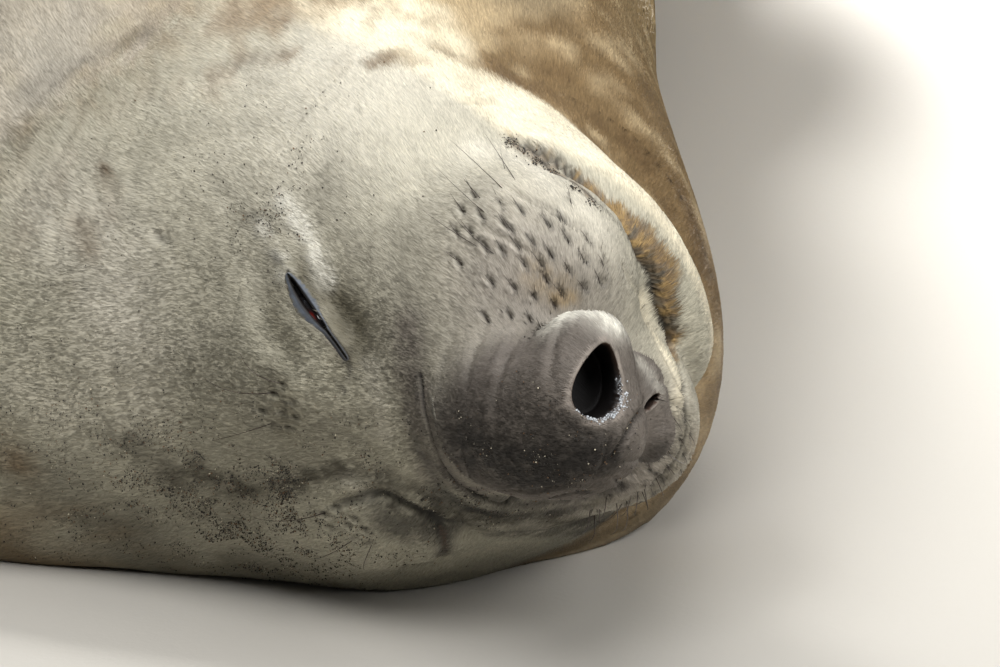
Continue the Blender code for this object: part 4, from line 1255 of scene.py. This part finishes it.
def grow_coat(blocks, material):
    """Lays tufts over the skin and parts them among pieces that each span the body. A tuft is a closed
    wedge of four faces: two root corners, a ridge point and a tip, laid along the lie and bent with the
    skin ahead of it."""
    rng = np.random.default_rng(SEED)
    root = tuft_roots(rng, blocks)
    place, normal, ahead = root[:, PLACE], unit(root[:, NORMAL]), unit(root[:, AHEAD])
    bend = 0.5 * root[:, BEND]
    stray = rng.normal(size=(len(root), 6))
    side = unit(np.cross(normal, ahead))
    swirl = 0.25 * noise(place, 0.03, 20)[:, None] + 0.14 * stray[:, 0:1]
    along = unit(ahead + side * swirl)
    side = unit(np.cross(normal, along))
    long = root[:, LENGTH] * (1 + 0.22 * np.clip(stray[:, 1:2], -2, 2))
    wide = 0.5 * root[:, WIDTH] * (1 + 0.2 * np.clip(stray[:, 2:3], -2, 2)) * 1.0
    # Roots lie under the skin, and tips stand off it by a share of the length, most where it is bristly.
    sunk = normal * (0.10 * long + 0.0002) * 0.6
    lift = 0.030 + 0.035 * ease((0.012 - long) / 0.006) + 0.13 * root[:, BRISTLE]
    ridge = along * long * RIDGE_AT
    ridge = ridge + normal * (0.00014 + 0.7 * lift * long + bend * (RIDGE_AT * long) ** 2)
    tip = along * long + normal * (0.00005 + lift * long * (1 + 0.3 * stray[:, 3:4]) + bend * long ** 2)
    roots = place - side * wide - sunk, place + side * wide - sunk
    points = np.stack((*roots, place + ridge, place + tip), axis=1)
    points[..., 2] = np.maximum(points[..., 2], 0.0002)
    # The shading leans to each side and astray, so that flat faces catch the light like a bunch of hairs.
    upright = normal + 0.20 * stray[:, 4:5] * side + 0.12 * stray[:, 5:6] * along
    edges = upright - 0.45 * side, upright + 0.45 * side
    shading = unit(np.stack((*edges, upright, upright + 0.15 * along), axis=1))
    level = 1 + 0.14 * rng.normal(size=(len(root), 1))
    # Painted shade darkens each tuft's roots; the tip is a little lighter.
    shades = np.stack([root[:, TINT] * level * shade for shade in TUFT_SHADES], axis=1)
    maps = root[:, None, FLAT] + 0.0015 * np.array(((-1, -1), (1, -1), (0, 0), (0, 1)))
    for piece in range(COAT_PIECES):
        some = slice(piece, None, COAT_PIECES)
        faces = copies(len(points[some]), 4, WEDGE)
        mesh = make_mesh(f"coat_{piece + 1}", points[some].reshape(-1, 3), faces,
                         np.clip(shades[some].reshape(-1, 3), 0, 1),
                         maps[some].reshape(-1, 2)[faces.ravel()])
        mesh.normals_split_custom_set_from_vertices(shading[some].reshape(-1, 3).tolist())
        add_piece(f"coat_{piece + 1}", mesh, material)


def smooth_along(values, t):
    """Values given at even steps from 0 to 1, read at t on a Catmull-Rom curve."""
    return cubic(values, np.clip(t, 0.0, 1.0) * (len(values) - 1))


def paddle_frame(line, leading, t):
    """The middle line at t, the leading edge's direction and the flipper's upper side."""
    step = 0.02
    ahead = unit(smooth_along(line, t + step) - smooth_along(line, t - step))
    lead = np.asarray(leading, float) - ahead * (ahead @ np.asarray(leading, float))[..., None]
    lead = unit(lead)
    return smooth_along(line, t), lead, np.cross(lead, ahead)


def paddle(line, leading, widths, thicknesses, reach, digits, notch):
    """A flat limb as a grid: flattened oval rings along its middle line, each place across with its own
    reach at the tip, a low ridge over each digit, and webs that draw back between the digits' ends."""
    turn = np.linspace(0, 2 * np.pi, LIMB_AROUND + 1)[None, :]
    across = -np.cos(turn)
    toes = sum(np.exp(-((across - digit) / 0.13) ** 2) for digit in digits)
    rise = np.linspace(0, 1, LIMB_RINGS)[:, None]
    webs = 0.995 - notch * (1 - np.clip(toes, 0, 1)) * rise ** 6
    t = rise * smooth_along(reach, 0.5 * (across + 1.0)) * webs
    middle, lead, upper = paddle_frame(line, leading, t)
    width = smooth_along(widths, t) - 0.0015
    thickness = smooth_along(thicknesses, t) * np.sqrt(np.clip(1.02 - rise ** 6, 0, 1)) - 0.0012
    thickness = thickness * (0.82 + 0.18 * toes * ease(rise / 0.4)) if len(digits) else thickness
    edge = np.sign(np.sin(turn)) * np.abs(np.sin(turn)) ** 0.8
    points = middle - lead * (width * across)[..., None] + upper * (thickness * edge)[..., None]
    points[..., 2] = np.maximum(points[..., 2], SKIN_OFF_FLOOR)
    out = -lead * across[..., None] + upper * 2.5 * edge[..., None]
    return points, unit(out), toes * np.ones(t.shape)


def build_limbs():
    """Blocks like the skin's for the flippers and the tail."""
    blocks = []
    for number, (name, line, leading, kind) in enumerate(LIMBS):
        widths, thicknesses, reach, digits, notch = LIMB_KINDS[kind]
        points, out, toes = paddle(line, leading, widths, thicknesses, reach, digits, notch)
        rows, columns = points.shape[:2]
        points = points + out * (0.0006 * noise(points, 0.016, 30 + number))[..., None]
        points[:, -1] = points[:, 0]
        points[..., 2] = np.maximum(points[..., 2], SKIN_OFF_FLOOR)
        share = np.linspace(0, 1, rows)[:, None]
        turn = np.linspace(0, 1, columns)[None]
        flat = pair(0.83 + 0.16 * turn, 0.01 + 0.19 * (number + 0.95 * share))
        lie = pair(0.4 * turn, 0.45 * share)
        tint = paint(all_over("neck", points), "flipper", ease(share * 2.2))
        tint = paint(tint, "neck_dark", 0.5 * ease(1 - toes) * share)
        tint = tint * (1 + noises(points, (0.14, 0.022, 40), (0.08, 0.007, 41)))[..., None]
        own = ease(flesh(points) / 0.004)
        none = np.zeros(own.shape)
        blocks.append(dict(name=name, points=points, out=out, tint=tint, bare=none, flat=flat, lie=lie,
                           bristle=none, room=own + 0.02, sunk=none, own=own))
    return blocks


def closed_grid(block):
    """A closed mesh's arrays from one block: its grid, and a fan at each end."""
    rows, wide = block["points"].shape[:2]
    columns = wide - 1
    faces, places = grid_faces(rows, columns)
    vertices = block["points"][:, :-1].reshape(-1, 3)
    tint = block["tint"][:, :-1].reshape(-1, 3)
    flat, lie = block["flat"].reshape(-1, 2)[places], block["lie"].reshape(-1, 2)[places]
    ends = np.stack([block["points"][row, :-1].mean(axis=0) for row in (0, -1)])
    vertices = np.concatenate((vertices, ends))
    tint = np.concatenate((tint, np.stack([block["tint"][row, 0] for row in (0, -1)])))
    ring = np.arange(columns)
    after = np.roll(ring, -1)
    last = (rows - 1) * columns
    start_fan = np.stack((np.full(columns, rows * columns), after, ring), axis=1)
    end_fan = np.stack((np.full(columns, rows * columns + 1), last + ring, last + after), axis=1)
    for fan, row in ((start_fan, 0), (end_fan, rows - 1)):
        faces = np.concatenate((faces, fan))
        flat = np.concatenate((flat, np.broadcast_to(block["flat"][row, 0], fan.shape + (2,))))
        lie = np.concatenate((lie, np.broadcast_to(block["lie"][row, 0], fan.shape + (2,))))
    return vertices, faces, tint, flat.reshape(-1, 2), lie.reshape(-1, 2)


def outward_mesh(name, *arrays):
    """A mesh whose faces are turned to point out."""
    mesh = make_mesh(name, *arrays)
    work = bmesh.new()
    work.from_mesh(mesh)
    bmesh.ops.recalc_face_normals(work, faces=work.faces)
    work.to_mesh(mesh)
    work.free()
    mesh.shade_smooth()
    return mesh


def add_tinted(name, arrays, material, replaces=()):
    """Adds a piece of its own from corners, faces and colours."""
    return add_piece(name, outward_mesh(name, *arrays), material, replaces)


def join_limbs(skin, limbs):
    """Unites the flippers and tail with the skin, so that one closed surface is left."""
    helpers = []
    for block in limbs:
        helper = bpy.data.objects.new(block["name"], outward_mesh(block["name"], *closed_grid(block)))
        bpy.context.scene.collection.objects.link(helper)
        modifier = skin.modifiers.new(block["name"], "BOOLEAN")
        modifier.operation = "UNION"
        modifier.solver = "MANIFOLD"
        modifier.object = helper
        helpers.append(helper)
    depsgraph = bpy.context.evaluated_depsgraph_get()
    joined = bpy.data.meshes.new_from_object(skin.evaluated_get(depsgraph))
    skin.modifiers.clear()
    skin.data = joined
    joined.name = "skin"
    for helper in helpers:
        mesh = helper.data
        bpy.data.objects.remove(helper)
        bpy.data.meshes.remove(mesh)


def sphere_grid(middle, columns, radius, rows=48, around=64):
    """A ball as a grid of rings from pole to pole about its third axis."""
    a = np.linspace(0.02, np.pi - 0.02, rows)[:, None]
    b = np.linspace(0, 2 * np.pi, around + 1)[None]
    x, y, z = np.sin(a) * np.cos(b), np.sin(a) * np.sin(b), np.cos(a) * np.ones(b.shape)
    along, across, facing = columns
    return middle + (x[..., None] * along + y[..., None] * across + z[..., None] * facing) * radius


def plain_block(points, tint):
    """A block with even maps, for closed_grid."""
    rows, columns = points.shape[:2]
    flat = pair(np.linspace(0, 1, columns)[None], np.linspace(0, 1, rows)[:, None])
    return dict(points=points, tint=np.broadcast_to(tint, points.shape), flat=flat, lie=flat)


def add_eyes(materials):
    """Balls under the lids, nearly black and wet, with a red corner of the inner membrane and a dim painted
    streak of reflected light.
    """
    for side, word in ((1, "left"), (-1, "right")):
        place, along, across, facing = eye_frame(side)
        middle = place - facing * (EYE_RADIUS + EYE_DEPTH)
        points = sphere_grid(middle, (along, across, facing), EYE_RADIUS)
        off = points - place
        x, y = off @ along / MM, off @ across / MM
        tint = paint(all_over("eye", points), "membrane", bells(x, y, INNER_CORNER))
        # A dim blue-grey streak painted on the ball as a reflection of the sky.
        reflection_streak = bells(x, y, PAINTED_EYE_REFLECTION) * ease(0.8 + noise(points, 0.002, 53))
        tint = paint(tint, "lid", 0.55 * reflection_streak)
        tint = paint(tint, "dark", 0.7 * ease((np.abs(x - SLIT_MIDDLE) - 12) / 8))
        add_tinted(f"eyeball_{word}", closed_grid(plain_block(points, tint)), materials["eye"],
                   (f"eye_{word}",))


def lid_strip():
    """The left lids' bare margin: a closed profile carried round the slit between them. The profile rises
    from the coat to a low crest, turns over at the edge and goes down beside the eyeball."""
    place, along, across, facing = eye_frame(1)
    turn = np.linspace(0, 2 * np.pi, 193)[:, None]
    x = 0.5 * (SLIT_START + SLIT_END) + 0.5 * (SLIT_END - SLIT_START) * np.cos(turn)
    bow, opening, dorsal, ventral = slit_margin(x, 1)
    above = np.sin(turn) >= 0
    y = bow + np.where(above, opening, -opening)
    ends = np.abs(np.cos(turn)) ** 24
    width = np.where(above, ventral, dorsal) + 0.7
    out_x = np.sign(np.cos(turn)) * ends
    out_y = np.where(above, 1.0, -1.0) * np.sqrt(np.clip(1 - out_x ** 2, 0, 1))
    offset, rise = LID_PROFILE[:, 0][None], LID_PROFILE[:, 1][None]
    crease = 0.35 * np.exp(-((offset - 0.55) / 0.10) ** 2)
    px, py = x + out_x * width * offset, y + out_y * width * offset
    flat = place + (px[..., None] * along + py[..., None] * across) * MM
    surface = cast(flat - facing * 0.05, np.broadcast_to(facing, flat.shape), SKIN_DEPTH)
    swell = bells(px, py, LID_SWELLS)
    lift = rise * (0.5 + 0.5 * np.clip(width / 4, 0, 1)) - crease + swell
    points = surface + facing * (lift * MM)[..., None]
    points[-1], points[:, -1] = points[0], points[:, 0]
    tint = paint(all_over("lid", points), "dark", ease((0.36 - offset) / 0.16))
    tint = paint(tint, "olive", ease((offset - 0.50) / 0.4) * ease(0.7 + noise(points, 0.0012, 52)))
    tint = paint(tint, "dark", 0.75 * ease((px - 8) / 12))
    tint = tint * (1 + noises(points, (0.25, 0.0012, 50), (0.15, 0.003, 51)))[..., None]
    return points, tint


def add_lids(materials):
    """The left eye's lids, a grid shut both ways. The shut right eye's are a groove in the skin."""
    points, tint = lid_strip()
    rows, columns = points.shape[0] - 1, points.shape[1] - 1
    i, j = np.meshgrid(np.arange(rows), np.arange(columns), indexing="ij")
    i, j = i.ravel(), j.ravel()
    k, m = (i + 1) % rows, (j + 1) % columns
    quads = np.stack((i * columns + j, i * columns + m, k * columns + m, k * columns + j), axis=1)
    arrays = points[:-1, :-1].reshape(-1, 3), quads, tint[:-1, :-1].reshape(-1, 3)
    add_tinted("lids_left", arrays, materials["lid"])


def hair_tubes(roots, middles, tips, thick, rings=12, sides=5):
    """Corners and faces of tapered round hairs along quadratic curves from root to tip."""
    t = np.linspace(0, 1, rings)[None, :, None]
    line = roots[:, None] * (1 - t) ** 2 + 2 * middles[:, None] * t * (1 - t) + tips[:, None] * t ** 2
    way = unit(np.gradient(line, axis=1))
    first = unit(np.cross(way, np.array((0.31, 0.22, 0.93))))
    second = np.cross(way, first)
    turn = np.linspace(0, 2 * np.pi, sides, endpoint=False)
    radius = np.asarray(thick)[:, None, None, None] * (1 - 0.8 * t[..., None] ** 1.5)
    ring = (first[:, :, None] * np.cos(turn)[:, None] + second[:, :, None] * np.sin(turn)[:, None]) * radius
    points = line[:, :, None] + ring
    count = len(roots)
    vertices = np.concatenate((points.reshape(count, -1, 3), line[:, :1], line[:, -1:]), axis=1)
    each = rings * sides + 2
    s = np.arange(sides)
    n = (s + 1) % sides
    root_fan = np.stack((np.full(sides, each - 2), n, s), axis=1)
    tip_fan = np.stack((np.full(sides, each - 1), (rings - 1) * sides + s, (rings - 1) * sides + n), axis=1)
    one = np.concatenate((grid_faces(rings, sides)[0], root_fan, tip_fan))
    return vertices.reshape(-1, 3), copies(count, each, one)


def add_whiskers(materials):
    """Short stiff hairs that lie in the pits, the long curved whiskers the photo shows, and the brow's."""
    rng = np.random.default_rng(SEED + 1)
    pits = np.array(PITS, float)
    length = 12.0 + 12.0 * rng.random(len(pits))
    turn = 0.10 * rng.normal(size=len(pits))
    base = pits[:, :2] + 0.30 * pits[:, 2:3] * PIT_SLANT
    ends = base - (PIT_SLANT + pair(turn, 0.0)) * length[:, None]
    roots, tips = photo_point(base), photo_point(ends)
    long_pairs = np.array(WHISKERS, float)
    long_roots, long_tips = photo_point(long_pairs[:, :2]), photo_point(long_pairs[:, 2:4])
    flying = np.linalg.norm(long_tips - long_roots, axis=1) > 0.09
    apart = (long_pairs[:, 2:4] - long_pairs[:, :2]) * PIXEL
    aside = long_roots + apart[:, :1] * CAMERA_RIGHT - apart[:, 1:2] * CAMERA_UP
    long_tips = np.where(flying[:, None], aside, long_tips) + CAMERA_BACK * 0.006
    kind = np.repeat((0, 1), (len(roots), len(long_roots)))
    stand, thick = np.array(WHISKER_STAND)[kind], np.array(WHISKER_THICK)[kind]
    all_roots = np.concatenate((roots, long_roots))
    all_tips = np.concatenate((tips + outward(tips) * 0.0013, long_tips))
    out = outward(all_roots)
    middles = 0.5 * (all_roots + all_tips) + out * stand[:, None]
    bend = np.concatenate((np.zeros(len(roots)), long_pairs[:, 4])) * MM
    middles += bend[:, None] * unit(np.cross(all_tips - all_roots, -CAMERA_BACK))
    all_roots = all_roots - out * 0.002
    off_nostril = across_head(all_roots) - photo_point([NOSTRILS[1][0]])
    off_nostril = np.linalg.norm(off_nostril, axis=1) > NOSTRIL_CLEAR
    both = (np.arange(len(thick)) < len(roots) + HANGING_FROM) & off_nostril
    sets = []
    for points in (all_roots, middles, all_tips):
        twin = across_head(points[both])
        held = flesh(points[both]) - flesh(twin)
        twin = twin + outward(twin) * held[:, None]
        sets.append(np.concatenate((points, twin)))
        sets[-1][:, 2] = np.maximum(sets[-1][:, 2], 0.0015)
    thick = np.concatenate((thick, thick[both]))
    vertices, faces = hair_tubes(*sets, thick)
    tint = np.tile(COLOUR["whisker"], (len(vertices), 1))
    add_tinted("whiskers", (vertices, faces, tint), materials["whisker"])


def ball_shape(subdivisions):
    """Corners and faces of a ball of triangles with a radius of 1."""
    work = bmesh.new()
    bmesh.ops.create_icosphere(work, subdivisions=subdivisions, radius=1.0)
    corners = np.array([v.co[:] for v in work.verts])
    faces = np.array([[v.index for v in f.verts] for f in work.faces])
    work.free()
    return corners, faces


def add_grains(blocks, materials):
    """Dark beach sand caught in the coat, thickest on the low cheek, the brow and the lower nose: small
    stones of twenty faces, each squashed and turned its own way."""
    rng = np.random.default_rng(SEED + 2)
    corners, outs, weights = [], [], []
    for block in blocks[:2]:
        p = block["points"]
        density = np.zeros(p.shape[:2])
        for place, radius, share in GRAIN_ZONES:
            density += share * fade(p, photo_point([place])[0], radius * MM)
        density *= ease(0.35 + noises(p, (1.0, 0.012, 60), (0.6, 0.004, 61)))
        density *= 1 - np.clip(block["bare"] * 2, 0, 1)
        a, b, area = cell_area(p)
        weights.append((area * density[1:, 1:]).ravel())
        corners.append(np.stack((p[:-1, :-1], a, b), axis=2).reshape(-1, 3, 3))
        outs.append(block["out"][:-1, :-1].reshape(-1, 3))
    corners, outs = np.concatenate(corners), np.concatenate(outs)
    cell, = pick_cells(rng, np.concatenate(weights), GRAINS)
    s, t = rng.random((2, GRAINS, 1))
    place = corners[cell, 0] + corners[cell, 1] * s + corners[cell, 2] * t
    size = 0.00018 + 0.00034 * rng.random((GRAINS, 1)) ** 2.5
    place = place + outs[cell] * (0.0004 + 0.6 * size)
    ball, ball_faces = ball_shape(1)
    spin, _ = np.linalg.qr(rng.normal(size=(GRAINS, 3, 3)))
    shape = ball[None] * (0.7 + 0.5 * rng.random((GRAINS, 1, 3)))
    shape = shape * (0.85 + 0.3 * rng.random((GRAINS, len(ball), 1)))
    vertices = place[:, None] + np.einsum("nij,nkj->nki", spin, shape) * size[:, None]
    vertices[..., 2] = np.maximum(vertices[..., 2], 0.0003)
    pick = rng.random((GRAINS, 1))
    pale = np.where(pick < 0.93, COLOUR["grain_brown"], COLOUR["grain_pale"])
    tint = np.where(pick < 0.80, COLOUR["grain_dark"], pale)
    tint = np.repeat(tint * (0.7 + 0.6 * rng.random((GRAINS, 1))), len(ball), axis=0)
    faces = copies(GRAINS, len(ball), ball_faces)
    add_tinted("sand_grains", (vertices.reshape(-1, 3), faces, tint), materials["sand"])


def add_claws(materials):
    """Horn claws, each a cone that curves down and thins to a blunt tip, ridged along its length."""
    for name, line, leading, kind in LIMBS[:2]:
        word = name.split("_")[1]
        widths, _, reach, digits, _ = LIMB_KINDS[kind]
        arrays, total = [], 0
        for across in digits:
            t = smooth_along(reach, np.array([0.5 * (across + 1.0)]))
            middle, lead, upper = (v[0] for v in paddle_frame(line, leading, t))
            ahead = unit(np.cross(upper, lead))
            width = smooth_along(widths, t)[0]
            base = middle - lead * width * across + ahead * (CLAW_SPACE - CLAW_ROOT)
            base[2] = max(base[2], CLAW_RADIUS + CLAW_LENGTH * CLAW_BEND)
            upper = upper if upper[2] > 0 else -upper
            s = np.linspace(0, 1, 18)[:, None, None]
            turn = np.linspace(0, 2 * np.pi, 25)[None, :, None]
            centre = base + ahead * (CLAW_LENGTH + CLAW_ROOT) * s - upper * CLAW_LENGTH * CLAW_BEND * s ** 2
            radius = CLAW_RADIUS * (1.0 - 0.80 * s ** 1.6) * (1 + 0.03 * np.cos(7 * turn)) * 0.97
            points = centre + (lead * np.cos(turn) + upper * 0.85 * np.sin(turn)) * radius
            vertices, faces, tint = closed_grid(plain_block(points, COLOUR["claw"]))[:3]
            tint = paint(tint, "claw_tip", 0.6 * np.linspace(0, 1, len(tint)) ** 2)
            arrays.append((vertices, faces + total, tint))
            total += len(vertices)
        add_tinted(f"claws_{word}", [np.concatenate(column) for column in zip(*arrays)], materials["claw"],
                   tuple(f"claw_{word}_{k}" for k in range(1, 6)))


def add_mucus(blocks, materials):
    """Drying wet crust on the left nostril's rim: glossy pale beads of many sizes, run together."""
    rng = np.random.default_rng(SEED + 3)
    p, out = blocks[0]["points"], blocks[0]["out"]
    line = smooth_line(photo_point(MUCUS_LINE))
    weight = near_line(p, line, 0.0040) * ease((blocks[0]["bare"] - 0.02) / 0.1)
    weight *= ease(0.6 + 1.2 * noise(p, 0.003, 70))
    weight += 0.4 * near_line(p, line, 0.0022) * ease(0.3 + 1.2 * noise(p, 0.002, 71))
    i, j = pick_cells(rng, weight, BEADS)
    size = 0.00016 + 0.0006 * rng.random((BEADS, 1)) ** 3
    place = p[i, j] + rng.normal(size=(BEADS, 3)) * 0.0004 + out[i, j] * 0.0001
    ball, ball_faces = ball_shape(2)
    shape = ball[None] * (0.6 + 0.9 * rng.random((BEADS, 1, 3)))
    vertices = place[:, None] + shape * size[:, None]
    tint = np.tile(COLOUR["mucus"], (BEADS * len(ball), 1))
    faces = copies(BEADS, len(ball), ball_faces)
    add_tinted("nostril_crust", (vertices.reshape(-1, 3), faces, tint), materials["mucus"])


def stage():
    """Pale floor, soft light from above, from the right and over the trunk, and the photo's camera."""
    mesh = bpy.data.meshes.new("floor")
    mesh.from_pydata([(-30, -30, 0), (30, -30, 0), (30, 30, 0), (-30, 30, 0)], [], [(0, 1, 2, 3)])
    floor = bpy.data.objects.new("floor", mesh)
    bpy.context.scene.collection.objects.link(floor)
    mesh.materials.append(floor_material())
    aim = Vector(AIM - FLOOR_MIDDLE)
    for name, place, target, size, power, spread in LIGHTS:
        light = bpy.data.lights.new(name, "AREA")
        light.shape = "DISK"
        light.size = size
        light.energy = power
        light.spread = np.radians(spread)
        lamp = bpy.data.objects.new(name, light)
        lamp.location = aim + Vector(place)
        lamp.rotation_euler = (aim + Vector(target) - lamp.location).to_track_quat("-Z", "Y").to_euler()
        bpy.context.scene.collection.objects.link(lamp)
    world = bpy.data.worlds.new("overcast_sky")
    bpy.context.scene.world = world
    world.use_nodes = True
    world.node_tree.nodes["Background"].inputs["Color"].default_value = (*linear("#E2E4E6"), 1.0)
    world.node_tree.nodes["Background"].inputs["Strength"].default_value = SKY_STRENGTH
    camera = bpy.data.cameras.new("camera")
    camera.sensor_width = SENSOR
    camera.lens = SENSOR * CAMERA_DISTANCE / (PHOTO_WIDE * PIXEL)
    camera.clip_end = 200.0
    lens = bpy.data.objects.new("camera", camera)
    lens.location = aim + Vector(CAMERA_BACK * CAMERA_DISTANCE)
    lens.rotation_euler = (aim - lens.location).to_track_quat("-Z", "Y").to_euler()
    bpy.context.scene.collection.objects.link(lens)
    bpy.context.scene.camera = lens
    bpy.context.scene.view_settings.view_transform = "Standard"


def main():
    """Builds the skin with its limbs, lays the coat over it, and adds the small pieces and the stage."""
    blocks = build_skin()
    vertices, faces, tint, flat, lie = join_blocks(blocks)
    mesh = make_mesh("skin", vertices, faces, tint, flat, lie)
    skin = add_piece("skin", mesh, skin_material(), (
        "head", "nose", "lower_jaw", "neck", "trunk_front", "trunk_middle", "trunk_rear", "hips", "tail",
        "foreflipper_left", "foreflipper_right", "hindflipper_left", "hindflipper_right"))
    limbs = build_limbs()
    join_limbs(skin, limbs)
    materials = {
        # Dry hair, dull enough that light spreads over the coat without glints.
        "hair": tinted_material("weathered_seal_hair", 0.55, 0.35),
        # A film of tears gives the dark slit its small sharp glints.
        "eye": tinted_material("wet_cornea", 0.07, 0.6, 0.2),
        # Bare damp skin, a little smoother than the hair beside it.
        "lid": tinted_material("bare_lid_skin", 0.52, 0.35),
        # Stiff smooth hairs, each with a thin line of light along it.
        "whisker": tinted_material("whisker_keratin", 0.35),
        # Dull stones, dark against the coat.
        "sand": tinted_material("beach_sand", 0.55),
        # Worn horn with a soft sheen.
        "claw": tinted_material("claw_horn", 0.32, 0.5, 0.2),
        # Wet beads that sparkle on the nostril's rim.
        "mucus": tinted_material("drying_mucus", 0.16, 0.6, 0.6),
    }
    grow_coat(blocks + limbs, materials["hair"])
    add_eyes(materials)
    add_lids(materials)
    add_whiskers(materials)
    add_grains(blocks, materials)
    add_mucus(blocks, materials)
    add_claws(materials)
    stage()


main()
